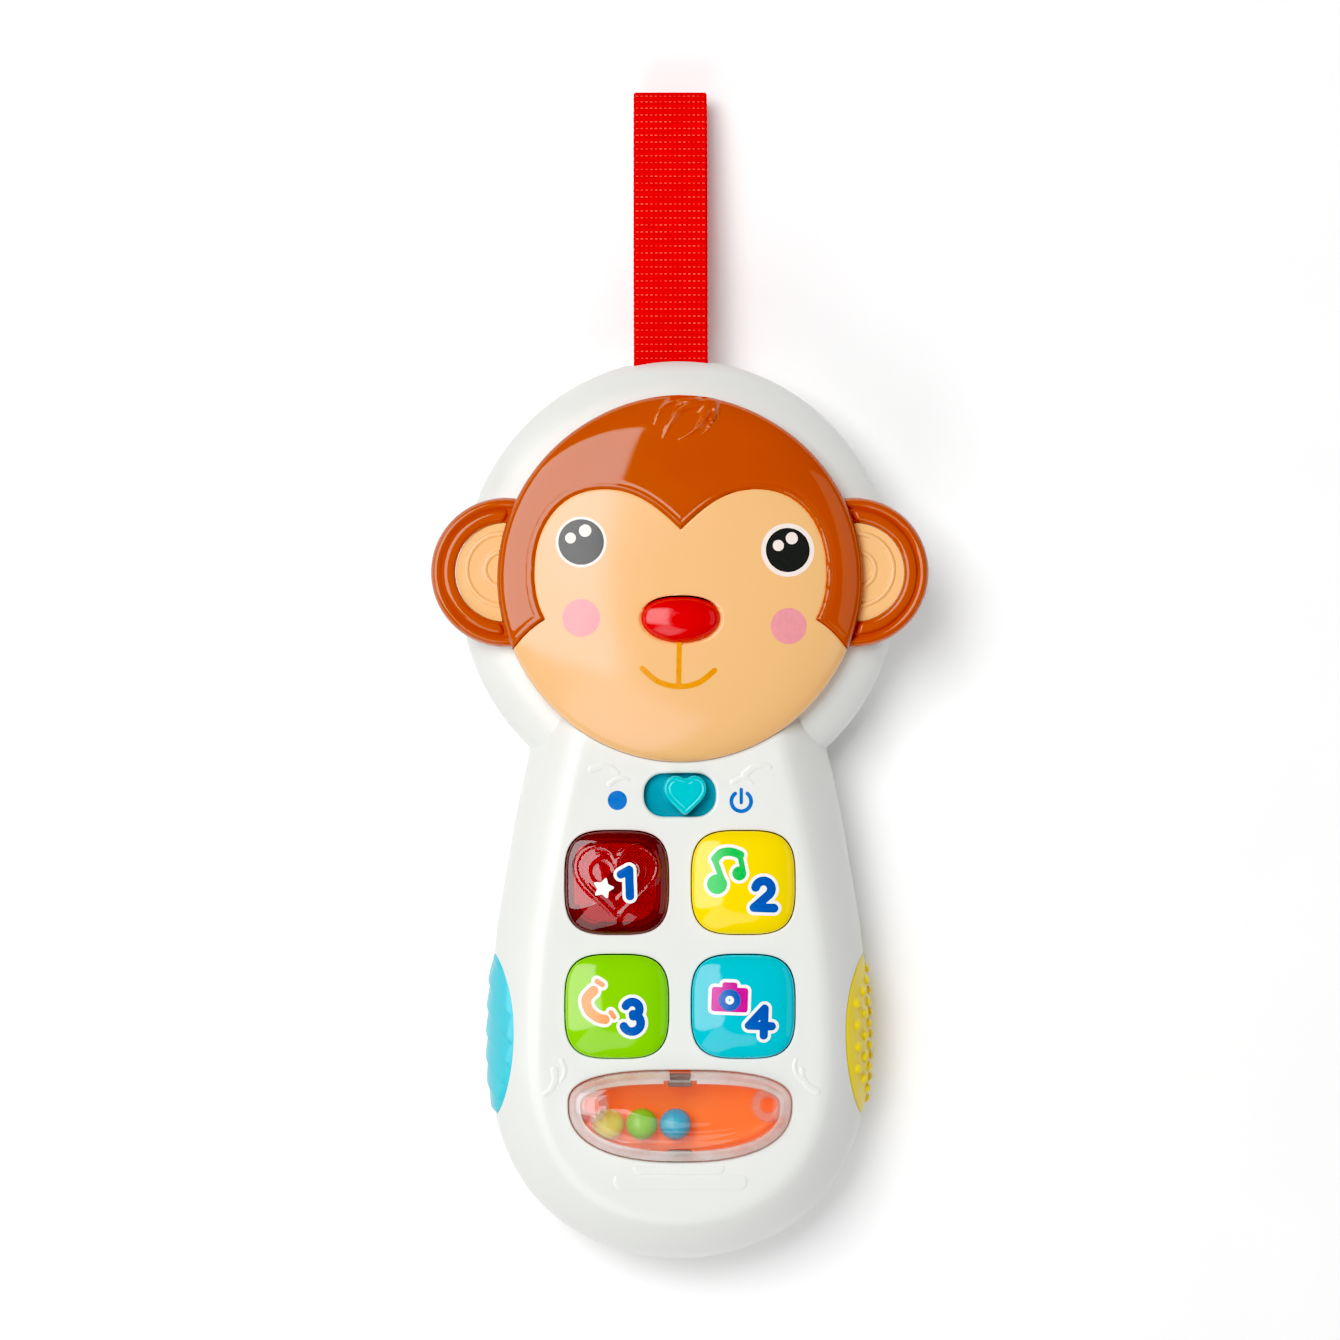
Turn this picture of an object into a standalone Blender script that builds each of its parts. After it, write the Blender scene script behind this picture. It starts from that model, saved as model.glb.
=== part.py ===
"""A toy cell phone with a monkey's face, as an assembly of its separate pieces.

X runs to the right, Y towards the strap and Z out of the front. The phone lies on
its flat back at Z = 0, and the origin is under the middle of its box. Lengths are
in millimetres in this script, and become metres where a mesh or a place is set.
"""

import math

import bmesh
import bpy

MM = 0.001
GAP = 0.3  # clearance between pieces that touch

# Housing
Z_PARTING = 14.0  # where the rear and the front housing meet
Z_DISC = 25.0  # front of the round head plate
Z_FRONT = 30.0  # front of the grip, which holds the buttons
WALL = 2.3
DISC_CENTRE_Y = 17.4
DISC_RADIUS = 44.4
DISC_REACH_UP = 46.3  # the disc is a little taller above its centre
GRIP_HALF_OUTLINE = [
    (0.0, -119.1), (11.5, -117.5), (22.0, -112.8), (30.2, -105.4), (35.6, -95.6), (38.1, -84.0),
    (38.3, -70.0), (37.2, -54.0), (35.2, -41.0), (32.8, -27.5), (30.6, -17.5), (28.2, -9.0),
    (23.6, -1.0), (14.0, 5.2), (0.0, 7.6),
]
GRIP_FRONT_PROFILE = [
    (14.0, 0.0), (18.0, 0.6), (22.5, 2.5), (26.5, 5.2), (29.0, 7.8), (30.0, 10.6),
]
DISC_FRONT_PROFILE = [(14.0, 0.0), (18.0, 0.5), (21.5, 2.2), (24.0, 5.2), (25.0, 9.6)]
REAR_PROFILE = [(0.0, 9.4), (0.8, 6.2), (2.8, 3.2), (6.5, 1.0), (14.0, 0.0)]

# Face
FACE_CENTRE_Y = 16.55
FACE_RADII = [39.0, 38.35, 37.5, 36.4, 35.05, 34.5, 34.4]
FACE_RIM_Z = 30.6
FACE_DOME = 7.9  # height of the dome over its rim
FACE_WALL = 1.8
HAIR_STEP = 0.7  # the hair stands this far proud of the face
POCKET_FLOOR_Z = 23.4
POCKET_WALL = 1.0
FACE_BEZIER = [  # from the peak of the hairline, over the brow, down to the cheek's corner and out
    [(0.0, 28.4), (5.6, 34.0), (9.6, 36.5), (15.3, 36.5)],
    [(15.3, 36.5), (24.0, 36.5), (29.1, 29.4), (29.1, 20.05)],
    [(29.1, 20.05), (29.1, 16.1), (28.4, 13.2), (26.9, 10.6)],
    [(26.9, 10.6), (29.5, 9.2), (32.2, 6.6), (34.6, 2.9)],
]
EAR_X, EAR_Y, EAR_RADIUS = 35.0, 20.15, 15.0
EAR_HOLE_RADIUS = 10.0
EAR_Z, EAR_SIDES = (20.5, 30.3), 28
EAR_INSERT_TOP = 28.7
EAR_RIBS = (3.6, 7.2)  # radii of the ribs round each ear's middle

# Controls
BUTTON_X, BUTTON_ROWS = 12.65, (-42.0, -66.8)
BUTTON_HALF, BUTTON_POWER = 10.5, 3.4
NOSE_Y, NOSE_HALF = 10.7, (7.9, 4.4)
SLOT_Y, SLOT_HALF = -24.5, (7.2, 4.35)
KNOB_REST_X = 1.0
WINDOW_Y = -86.5
WINDOW_HALF_X, WINDOW_UP, WINDOW_DOWN = 22.2, 6.7, 11.3
WINDOW_POWER_UP, WINDOW_POWER_DOWN = 2.7, 2.4
WINDOW_BOSS_X = 17.7
BEAD_RADIUS, BEAD_Y = 3.25, -90.9
BEAD_X = (-14.4, -7.6, -0.8)

# Side grips: ovals on the flanks
GRIP_PAD_Y, GRIP_PAD_Z = -73.3, 14.0
GRIP_PAD_HALF = (16.3, 11.4)
GRIP_PAD_PROUD, GRIP_PAD_DEPTH = 0.8, 0.9

# Strap: 15 mm webbing in a closed loop round a pin
STRAP_X, STRAP_WIDTH, STRAP_THICK = -1.6, 15.0, 1.3
STRAP_PIN, STRAP_PIN_RADIUS = (53.0, 14.0), 2.0
STRAP_LOOP = [  # (y, z)
    (49.0, 14.0), (52.6, 17.4), (62.0, 16.5), (75.0, 15.4), (95.0, 13.2), (109.0, 10.8), (116.2, 8.9),
    (118.5, 6.2), (115.8, 3.6), (108.0, 2.1), (94.0, 1.5), (80.0, 3.4), (68.0, 8.0), (60.0, 10.7),
    (52.6, 10.6),
]

# Battery bay for two AAA cells, which lie across the phone
CELL_RADIUS, CELL_LENGTH = 5.25, 44.5
CELL_Z, CELL_ROWS = 8.0, (-60.5, -71.7)
SPRING_WIRE_RADIUS, SPRING_TURNS, SPRING_STEPS = 0.25, 3, 24
PLATE_Z = (3.0, 13.0)
BAY_HALF_X, BAY_Y, BAY_TOP = 24.8, (-77.4, -54.8), 13.7
COVER_HALF_X, COVER_Y, COVER_THICK = 25.6, (-78.2, -47.9), 1.7
COVER_SCREW_Y = -51.2
GRILLE_SLOTS = [(-8, 6.5), (-4, 9.0), (0, 10.0), (4, 9.0), (8, 6.5)]  # y from the disc's centre, half length

BOARD_Z, BOARD_THICK = 18.0, 1.6
BOARD_HALF_X, BOARD_Y = 23.0, (-78.0, -20.5)

HOUSING_SCREWS = [(side * x, y) for x, y in ((30.0, 40.5), (25.0, -11.0), (17.0, -103.0)) for side in (1, -1)]
BOARD_SCREWS = [(19.0, -25.5), (-19.0, -25.5)]
FACE_SCREWS = [(18.0, 6.0), (-18.0, 6.0)]

LOOP_POINTS = 36
SMOOTH_ANGLE = math.radians(40)


# Materials


def material(name, colour, roughness, metallic=0.0, clear=0.0):
    made = bpy.data.materials.new(name)
    made.use_nodes = True
    shader = made.node_tree.nodes["Principled BSDF"]
    shader.inputs["Base Color"].default_value = (*colour, 1.0)
    shader.inputs["Roughness"].default_value = roughness
    shader.inputs["Metallic"].default_value = metallic
    shader.inputs["Transmission Weight"].default_value = clear
    made.diffuse_color = (*colour, 1.0)
    return made


def make_materials():
    return {
        "white": material("white_plastic", (0.85, 0.86, 0.84), 0.35),
        "peach": material("peach_plastic", (0.92, 0.56, 0.29), 0.3),
        "brown": material("brown_plastic", (0.51, 0.08, 0.003), 0.25),
        "red": material("red_plastic", (0.72, 0.0, 0.003), 0.25),
        "clear_red": material("clear_red_plastic", (0.3, 0.0, 0.004), 0.1, clear=0.6),
        "yellow": material("yellow_plastic", (0.96, 0.7, 0.0), 0.2),
        "green": material("green_plastic", (0.27, 0.73, 0.0), 0.2),
        "cyan": material("cyan_plastic", (0.0, 0.54, 0.68), 0.2),
        "sky": material("sky_plastic", (0.05, 0.51, 0.68), 0.25),
        "orange": material("orange_plastic", (1.0, 0.17, 0.013), 0.35),
        "clear": material("clear_plastic", (0.95, 0.95, 0.95), 0.05, clear=0.95),
        "silver": material("foil", (0.8, 0.8, 0.8), 0.3, 0.9),
        "steel": material("plated_steel", (0.6, 0.6, 0.58), 0.35, 1.0),
        "black": material("black_plastic", (0.02, 0.02, 0.02), 0.5),
        "rubber": material("grey_rubber", (0.3, 0.3, 0.3), 0.8),
        "board": material("board", (0.02, 0.2, 0.06), 0.5),
        "webbing": material("red_webbing", (0.75, 0.003, 0.003), 0.8),
    }


# Outlines, as lists of (x, y) that run anticlockwise


def between(p, q, r, s, t):
    """The value at a share t of the way from q to r, on a Catmull-Rom curve through the four."""
    square, cube = 2 * p - 5 * q + 4 * r - s, 3 * q - p - 3 * r + s
    return 0.5 * (2 * q + (r - p) * t + square * t**2 + cube * t**3)


def spline_loop(points, per_span=8):
    """A smooth closed curve through the points."""
    found, count = [], len(points)
    for i in range(count):
        four = [points[(i + k) % count] for k in (-1, 0, 1, 2)]
        for step in range(per_span):
            found.append(tuple(between(*values, step / per_span) for values in zip(*four)))
    return found


def evenly(loop, count=LOOP_POINTS):
    """The same closed curve, with count points at equal distances."""
    closed = loop + [loop[0]]
    spans = [math.dist(p, q) for p, q in zip(closed, closed[1:])]
    total, found, i, gone = sum(spans), [], 0, 0.0
    for k in range(count):
        target = total * k / count
        while gone + spans[i] < target:
            gone += spans[i]
            i += 1
        share = (target - gone) / spans[i]
        found.append(tuple(p + (q - p) * share for p, q in zip(closed[i], closed[i + 1])))
    return found


def moved_in(loop, distance):
    """The curve moved inwards by the distance, or outwards if it is negative."""
    found, count = [], len(loop)
    for i, (x, y) in enumerate(loop):
        (ax, ay), (bx, by) = loop[i - 1], loop[(i + 1) % count]
        length = math.hypot(bx - ax, by - ay)
        found.append((x - (by - ay) / length * distance, y + (bx - ax) / length * distance))
    return found


def superellipse(half_x, up, down=None, power_up=2.0, power_down=None, centre=(0, 0), count=LOOP_POINTS):
    """An oval whose upper and lower halves may differ in height and in squareness."""
    down, power_down = down or up, power_down or power_up
    found = []
    for k in range(count):
        turn = 2 * math.pi * k / count
        c, s = math.cos(turn), math.sin(turn)
        height, power = (up, power_up) if s >= 0 else (down, power_down)
        x = half_x * math.copysign(abs(c) ** (2 / power), c)
        y = height * math.copysign(abs(s) ** (2 / power), s)
        found.append((centre[0] + x, centre[1] + y))
    return found


def circle(radius, centre=(0, 0), count=LOOP_POINTS):
    return superellipse(radius, radius, centre=centre, count=count)


def rectangle(x_range, y_range, corner=0.0, per_corner=4):
    """A rectangle, with round corners if corner isn't 0."""
    (x0, x1), (y0, y1) = x_range, y_range
    if not corner:
        return [(x1, y1), (x0, y1), (x0, y0), (x1, y0)]
    left, right, low, high = x0 + corner, x1 - corner, y0 + corner, y1 - corner
    found = []
    for k, (x, y) in enumerate([(right, high), (left, high), (left, low), (right, low)]):
        for step in range(per_corner + 1):
            turn = math.pi / 2 * (k + step / per_corner)
            found.append((x + corner * math.cos(turn), y + corner * math.sin(turn)))
    return found


def mirrored(half):
    """A closed outline from its right half, which runs from the lowest point to the highest."""
    return half + [(-x, y) for x, y in reversed(half[1:-1])]


def bezier(points, steps=6):
    (ax, ay), (bx, by), (cx, cy), (dx, dy) = points
    found = []
    for step in range(steps):
        t = step / steps
        weights = ((1 - t) ** 3, 3 * t * (1 - t) ** 2, 3 * t**2 * (1 - t), t**3)
        x, y = (sum(w * c for w, c in zip(weights, axis)) for axis in ((ax, bx, cx, dx), (ay, by, cy, dy)))
        found.append((x, y))
    return found


def grip_outline(count=LOOP_POINTS):
    return evenly(spline_loop(mirrored(GRIP_HALF_OUTLINE)), count)


def face_radius(turn):
    """Distance from the face's centre to its outline, in a direction given in degrees."""
    place = abs((turn + 270) % 360 - 180) / 30
    last = len(FACE_RADII) - 1
    below = min(int(last - place), last - 1)
    t = last - place - below
    p, q, r, s = (FACE_RADII[last - abs(last - abs(k))] for k in range(below - 1, below + 3))
    return between(p, q, r, s, t)


def face_outline(grow=0.0, scale=1.0, count=LOOP_POINTS):
    found = []
    for k in range(count):
        turn = 360 * (k + 0.5) / count
        reach = (face_radius(turn) + grow) * scale
        found.append(
            (reach * math.cos(math.radians(turn)), FACE_CENTRE_Y + reach * math.sin(math.radians(turn)))
        )
    return found


def face_area(grow=0.0):
    """The outline of the part of the face that the hair leaves open; it runs well past the chin."""
    right = [p for part in FACE_BEZIER for p in bezier(part)] + [(38.0, 1.0), (40.0, -24.0)]
    upward = list(reversed(right))
    loop = upward + [(-x, y) for x, y in right[1:]]
    return moved_in(loop, -grow)


# Solids


def add_object(name, shape, finish=None, at=(0, 0, 0), rotation=(0, 0, 0), parent=None):
    """An object from a bmesh in millimetres; with no finish it is a cutter."""
    bmesh.ops.scale(shape, vec=(MM, MM, MM), verts=shape.verts)
    bmesh.ops.recalc_face_normals(shape, faces=shape.faces)
    mesh = bpy.data.meshes.new(name)
    shape.to_mesh(mesh)
    shape.free()
    mesh.shade_smooth()
    mesh.set_sharp_from_angle(angle=SMOOTH_ANGLE)
    made = bpy.data.objects.new(name, mesh)
    bpy.context.collection.objects.link(made)
    made.rotation_euler = rotation
    made.parent = parent
    made.location = [MM * c for c in at]
    if finish:
        mesh.materials.append(finish)
    else:
        made.hide_render = True
        made.display_type = "WIRE"
    return made


def skin(rings, ring_closed=False):
    """A bmesh through rings of (x, y, z) that have the same number of points; its ends are capped."""
    shape = bmesh.new()
    rows = [[shape.verts.new(p) for p in ring] for ring in rings]
    count = len(rows[0])
    pairs = list(zip(rows, rows[1:] + rows[:1])) if ring_closed else list(zip(rows, rows[1:]))
    for low, high in pairs:
        for i in range(count):
            j = (i + 1) % count
            shape.faces.new((low[i], low[j], high[j], high[i]))
    if not ring_closed:
        shape.faces.new(list(reversed(rows[0])))
        shape.faces.new(rows[-1])
    return shape


def level(loop, z):
    return [(x, y, z) for x, y in loop]


def loft(name, levels, finish=None, **place):
    """A solid through outlines at given heights: levels is a list of (outline, z)."""
    return add_object(name, skin([level(loop, z) for loop, z in levels]), finish, **place)


def prism(name, loop, z_range, finish=None, **place):
    return loft(name, [(loop, z) for z in z_range], finish, **place)


def prisms(name, parts):
    """One cutter from several separate prisms: parts is a list of (outline, z_range)."""
    whole = bmesh.new()
    for loop, z_range in parts:
        part = skin([level(loop, z) for z in z_range])
        mesh = bpy.data.meshes.new(name)
        part.to_mesh(mesh)
        part.free()
        whole.from_mesh(mesh)
        bpy.data.meshes.remove(mesh)
    return add_object(name, whole)


def turned(name, profile, finish=None, sides=20, hollow=False, **place):
    """A solid of revolution about Z from a profile of (radius, z).

    A hollow one has a closed profile off the axis. Another starts and ends on the axis, where its
    first and last point have radius 0.
    """
    middle = profile if hollow else profile[1:-1]
    rings = [level(circle(radius, count=sides), z) for radius, z in middle]
    return add_object(name, skin(rings, ring_closed=hollow), finish, **place)


def combine(target, operation, *tools):
    for tool in tools:
        change = target.modifiers.new(tool.name, "BOOLEAN")
        change.operation = operation
        change.object = tool
        change.solver = "EXACT"
    return target


def cut(target, *tools):
    return combine(target, "DIFFERENCE", *tools)


def join(target, *tools):
    return combine(target, "UNION", *tools)


def keep_inside(target, *tools):
    return combine(target, "INTERSECT", *tools)


def axis_empty(name, at):
    """The point that a moving body is placed by, on the line it moves along."""
    made = bpy.data.objects.new(name, None)
    made.empty_display_size = 5 * MM
    made.location = [MM * c for c in at]
    bpy.context.collection.objects.link(made)
    return made


def tube(name, points, radius, finish, bevel_resolution=2):
    """A wire through the points."""
    curve = bpy.data.curves.new(name, "CURVE")
    curve.dimensions = "3D"
    curve.bevel_depth = radius * MM
    curve.bevel_resolution = bevel_resolution
    curve.use_fill_caps = True
    line = curve.splines.new("POLY")
    line.points.add(len(points) - 1)
    for point, place in zip(line.points, points):
        point.co = (*(MM * c for c in place), 1.0)
    curve.materials.append(finish)
    made = bpy.data.objects.new(name, curve)
    bpy.context.collection.objects.link(made)
    return made


def smooth_route(points, per_span=3):
    """An open smooth curve through 3-D points."""
    padded = [points[0], *points, points[-1]]
    found = []
    for four in zip(padded, padded[1:], padded[2:], padded[3:]):
        for step in range(per_span):
            found.append(tuple(between(*values, step / per_span) for values in zip(*four)))
    return found + [points[-1]]


def screw(name, at, finish, head=2.8, shank=1.2, head_height=1.9, length=12.0):
    """A pan-head screw that points up, with its head's underside at the given place."""
    profile = [
        (0, -head_height), (head * 0.8, -head_height), (head, -head_height * 0.6), (head, 0), (shank, 0),
        (shank, length - 1), (shank * 0.4, length), (0, length),
    ]
    return turned(name, profile, finish, sides=8, at=at)


# The body's outer form


def grip_levels(profile, grow=0.0, z_limits=(-1e3, 1e3)):
    outline = grip_outline()
    return [
        (moved_in(outline, inset - grow), z) for z, inset in profile if z_limits[0] <= z <= z_limits[1]
    ]


def disc_outline(grow=0.0):
    half, up = DISC_RADIUS + grow, DISC_REACH_UP + grow
    return superellipse(half, up, half, centre=(0, DISC_CENTRE_Y))


def disc_levels(profile, grow=0.0, z_limits=(-1e3, 1e3)):
    return [
        (disc_outline(grow - inset), z)
        for z, inset in profile
        if z_limits[0] <= z <= z_limits[1]
    ]


def inset_at(profile, z):
    """How far the wall is set in at a height, between the profile's own points."""
    for (z0, inset0), (z1, inset1) in zip(profile, profile[1:]):
        if z0 <= z <= z1:
            return inset0 + (inset1 - inset0) * (z - z0) / (z1 - z0)
    raise ValueError(z)


def cavity_profile(profile, low, high):
    """The wall's inner side between two heights: the outer profile moved in by the wall."""
    inner = [(low, inset_at(profile, max(low, profile[0][0])) + WALL)]
    inner += [(z, inset + WALL) for z, inset in profile if low + 0.5 < z < high - 0.5]
    inner.append((high, inset_at(profile, min(high, profile[-1][0])) + WALL + 0.6))
    return inner


def grip_pad_form(name, grow, finish=None):
    """The grip's whole flank, moved out by grow, from back to front."""
    profile = REAR_PROFILE[1:-1] + GRIP_FRONT_PROFILE[:-2]
    return loft(name, grip_levels(profile, grow), finish)


def pad_oval(name, grow, side):
    """An oval bar along X that marks a side grip's area on one flank."""
    half_y, half_z = GRIP_PAD_HALF
    loop = superellipse(half_z + grow, half_y + grow, power_up=2.2, count=40)
    ends = (side * 25.0, side * 45.0)
    shape = skin([[(x, GRIP_PAD_Y + y, GRIP_PAD_Z + z) for z, y in loop] for x in ends])
    return add_object(name, shape)


def pad_recess(name, side):
    """What the housings leave free for a side grip."""
    core = grip_pad_form(name + "_core", -GRIP_PAD_DEPTH - GAP)
    return cut(pad_oval(name, GAP, side), core)


# Pieces


def window_outline(grow=0.0, count=36):
    return superellipse(
        WINDOW_HALF_X + grow, WINDOW_UP + grow, WINDOW_DOWN + grow, WINDOW_POWER_UP, WINDOW_POWER_DOWN,
        (0, WINDOW_Y), count,
    )


def button_outline(grow=0.0, centre=(0, 0), count=24):
    half = BUTTON_HALF + grow
    return superellipse(half, half, power_up=BUTTON_POWER, centre=centre, count=count)


def button_places():
    return [(side * BUTTON_X, row) for row in BUTTON_ROWS for side in (-1, 1)]


def make_front_housing(finish):
    seam = (Z_PARTING + GAP / 2, 0.0)
    housing = loft("front_housing", grip_levels([seam, *GRIP_FRONT_PROFILE[1:]]), finish)
    disc = loft("front_disc", disc_levels([seam, *DISC_FRONT_PROFILE[1:]]))
    join(housing, disc)

    grip_room = loft(
        "front_grip_room", grip_levels(cavity_profile(GRIP_FRONT_PROFILE, Z_PARTING, Z_FRONT - 2.0))
    )
    pocket_guard = prism("pocket_guard", face_outline(GAP + POCKET_WALL), (POCKET_FLOOR_Z - 2.0, 40))
    cut(grip_room, pocket_guard)
    disc_room = loft(
        "front_disc_room", disc_levels(cavity_profile(DISC_FRONT_PROFILE, Z_PARTING, POCKET_FLOOR_Z - 2.0))
    )
    cut(housing, grip_room, disc_room)

    pocket = prism("face_pocket", face_outline(GAP), (POCKET_FLOOR_Z, 40))
    cut(housing, pocket)
    posts = []
    for k, place in enumerate(HOUSING_SCREWS):
        ceiling = POCKET_FLOOR_Z if k < 4 else Z_FRONT
        posts.append((circle(3.4, place, 12), (Z_PARTING + 0.4, ceiling - 1.5)))
    board_top = BOARD_Z + BOARD_THICK + GAP
    posts += [(circle(2.4, place, 12), (board_top, Z_FRONT - 1.5)) for place in BOARD_SCREWS]
    posts += [(circle(2.0, (x, NOSE_Y), 12), (POCKET_FLOOR_Z - 1, 26.2)) for x in (-7.0, 7.0)]
    posts += [(block, (STRAP_PIN[1] + STRAP_PIN_RADIUS + GAP, 22.4)) for block in pin_blocks()]
    join(housing, prisms("front_posts", posts))

    holes = [(button_outline(0.0, place), (24, 34)) for place in button_places()]
    holes.append((slot_outline(), (24, 34)))
    holes.append((window_outline(GAP), (24, 34)))
    holes += [(circle(1.5, place, 8), (Z_PARTING - 1, 20.8)) for place in HOUSING_SCREWS]
    holes += [(circle(1.2, place, 8), (Z_PARTING, 26.0)) for place in BOARD_SCREWS]
    holes += [(circle(1.9, place, 8), (20, 25)) for place in FACE_SCREWS]
    holes.append((circle(2.0, (0, 0.5), 8), (20, 25)))
    cut(housing, prisms("front_holes", holes), strap_slot("front_strap_slot"))
    for side, label in ((-1, "left"), (1, "right")):
        cut(housing, pad_recess(f"front_recess_{label}", side))
    return housing


def slot_outline(grow=0.0):
    half_x, half_y = SLOT_HALF
    return rectangle(
        (-half_x - grow, half_x + grow), (SLOT_Y - half_y - grow, SLOT_Y + half_y + grow), corner=3.9
    )


def pin_blocks():
    """Outlines of the two blocks that hold the strap's pin by its ends."""
    return [rectangle((x, x + 3.4), (STRAP_PIN[0] - 3, STRAP_PIN[0] + 3)) for x in (-14.6, 8.0)]


def strap_slot(name):
    half = STRAP_WIDTH / 2 + 0.7
    return prism(name, rectangle((STRAP_X - half, STRAP_X + half), (57.0, 66.0)), (9.0, 18.4))


def make_rear_housing(finish):
    top = Z_PARTING - GAP / 2
    housing = loft("rear_housing", grip_levels([*REAR_PROFILE[:-1], (top, 0.0)]), finish)
    join(housing, loft("rear_disc", disc_levels([*REAR_PROFILE[:-1], (top, 0.0)])))
    inner = [(2.2, 7.0), (3.6, 4.8), (6.0, 3.3), (9.0, 2.7), (Z_PARTING + 1, WALL)]
    cut(housing, loft("rear_grip_room", grip_levels(inner)), loft("rear_disc_room", disc_levels(inner)))

    posts = [(circle(4.4, place, 12), (1.2, top)) for place in HOUSING_SCREWS]
    bay_half = BAY_HALF_X + 2.2
    posts.append((rectangle((-bay_half, bay_half), (BAY_Y[0] - 2.2, COVER_Y[1] + 1.5)), (1.0, BAY_TOP + 1.3)))
    posts += [(block, (1.2, STRAP_PIN[1] - STRAP_PIN_RADIUS - GAP)) for block in pin_blocks()]
    limit_profile = [*REAR_PROFILE, (Z_PARTING + 3, 0.0)]
    limit = loft("rear_limit", grip_levels(limit_profile))
    join(limit, loft("rear_limit_disc", disc_levels(limit_profile)))
    join(housing, keep_inside(prisms("rear_posts", posts), limit))

    holes = [(circle(3.2, place, 12), (-2, 7.5)) for place in HOUSING_SCREWS]
    seat_half = COVER_HALF_X + GAP
    holes.append((rectangle((-seat_half, seat_half), (COVER_Y[0] - GAP, COVER_Y[1] + GAP), 2.0), (-2, 2.0)))
    for y, reach in GRILLE_SLOTS:
        slot = rectangle((-reach, reach), (DISC_CENTRE_Y + y - 1, DISC_CENTRE_Y + y + 1), 0.9, 2)
        holes.append((slot, (-2, 4)))
    cut(housing, prisms("rear_holes", holes))
    inner_holes = [(circle(1.9, place, 8), (6.5, 16)) for place in HOUSING_SCREWS]
    inner_holes.append((rectangle((-BAY_HALF_X, BAY_HALF_X), BAY_Y), (1.0, BAY_TOP)))
    inner_holes.append((circle(1.2, (0, COVER_SCREW_Y), 12), (1.0, 11.0)))
    cut(housing, prisms("rear_inner_holes", inner_holes), strap_slot("rear_strap_slot"))
    for side, label in ((-1, "left"), (1, "right")):
        cut(housing, pad_recess(f"rear_recess_{label}", side))
    return housing


def dome_z(share):
    """Height of the face's dome where share is the distance from its centre, 1 at the outline."""
    return FACE_RIM_Z + FACE_DOME * (1 - share**2.2) ** 0.6


def face_bowl(name, proud, finish=None):
    """A domed shell over the whole head, open to the rear."""
    shares = (0.25, 0.5, 0.7, 0.85, 0.94, 0.985)
    inner_scale = 1 - FACE_WALL / FACE_RADII[0]
    inner = [(face_outline(-FACE_WALL, share), dome_z(share * inner_scale) - FACE_WALL) for share in shares]
    base = POCKET_FLOOR_Z + GAP
    inner += [(face_outline(-FACE_WALL), FACE_RIM_Z - 1.0), (face_outline(-FACE_WALL), base)]
    outer = [(face_outline(), base), (face_outline(), FACE_RIM_Z + proud)]
    outer += [(face_outline(0, share), dome_z(share) + proud) for share in reversed(shares)]
    return loft(name, inner + outer, finish)


def nose_outline(grow=0.0, count=24):
    return superellipse(
        NOSE_HALF[0] + grow, NOSE_HALF[1] + grow, NOSE_HALF[1] + 0.4 + grow, 2.3, 2.0, count=count
    )


def make_face(finish):
    shell = face_bowl("face_shell", 0.0, finish)
    keep_inside(shell, prism("face_area", face_area(), (15, 50)))
    posts = [(circle(2.8, place, 10), (POCKET_FLOOR_Z + GAP, 35.4)) for place in FACE_SCREWS]
    join(shell, prisms("face_posts", posts))
    pilots = [(circle(1.4, place, 8), (20, 33)) for place in FACE_SCREWS]
    nose_hole = [(x, y + NOSE_Y) for x, y in nose_outline(GAP)]
    return cut(shell, prisms("face_holes", [*pilots, (nose_hole, (31, 45))]))


def make_hair(finish):
    shell = face_bowl("hair_shell", HAIR_STEP, finish)
    for side, label in ((-1, "left"), (1, "right")):
        centre = (side * EAR_X, EAR_Y)
        low, high = EAR_Z
        profile = [(0.8, low), (0, low + 1.0), (0, high - 1.2), (0.5, high - 0.3), (1.4, high)]
        levels = [(circle(EAR_RADIUS - inset, centre, EAR_SIDES), z) for inset, z in profile]
        ear = loft(f"ear_form_{label}", levels)
        raised_disc = [(loop, z + GAP) for loop, z in disc_levels(DISC_FRONT_PROFILE, GAP)]
        cut(ear, prism(f"ear_head_{label}", face_outline(-1.0), (15, 40)))
        cut(ear, loft(f"ear_seat_{label}", raised_disc))
        join(shell, ear)
        hole = prism(f"ear_hole_{label}", circle(EAR_HOLE_RADIUS, centre, EAR_SIDES), (15, 40))
        cut(hole, prism(f"ear_hole_head_{label}", face_outline(0.2), (15, 45)))
        cut(shell, hole)
    return cut(shell, prism("hair_limit", face_area(GAP), (15, 50)))


def make_ear_insert(label, side, finish):
    centre = (side * EAR_X, EAR_Y)
    outline = circle(EAR_HOLE_RADIUS - GAP, centre, EAR_SIDES)
    insert = prism(f"ear_insert_{label}", outline, (Z_DISC + GAP, EAR_INSERT_TOP), finish)
    cut(insert, prism(f"insert_head_{label}", face_outline(0.2 + GAP), (15, 45)))
    low, high = EAR_INSERT_TOP - 0.5, EAR_INSERT_TOP + 0.5
    for number, radius in enumerate(EAR_RIBS):
        section = [(radius - 0.5, low), (radius + 0.5, low), (radius + 0.5, high), (radius - 0.5, high)]
        rib = turned(f"insert_rib_{label}_{number}", section, hollow=True, at=(*centre, 0))
        cut(rib, prism(f"{rib.name}_head", face_outline(GAP + 0.8), (15, 45)))
        join(insert, rib)


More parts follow.
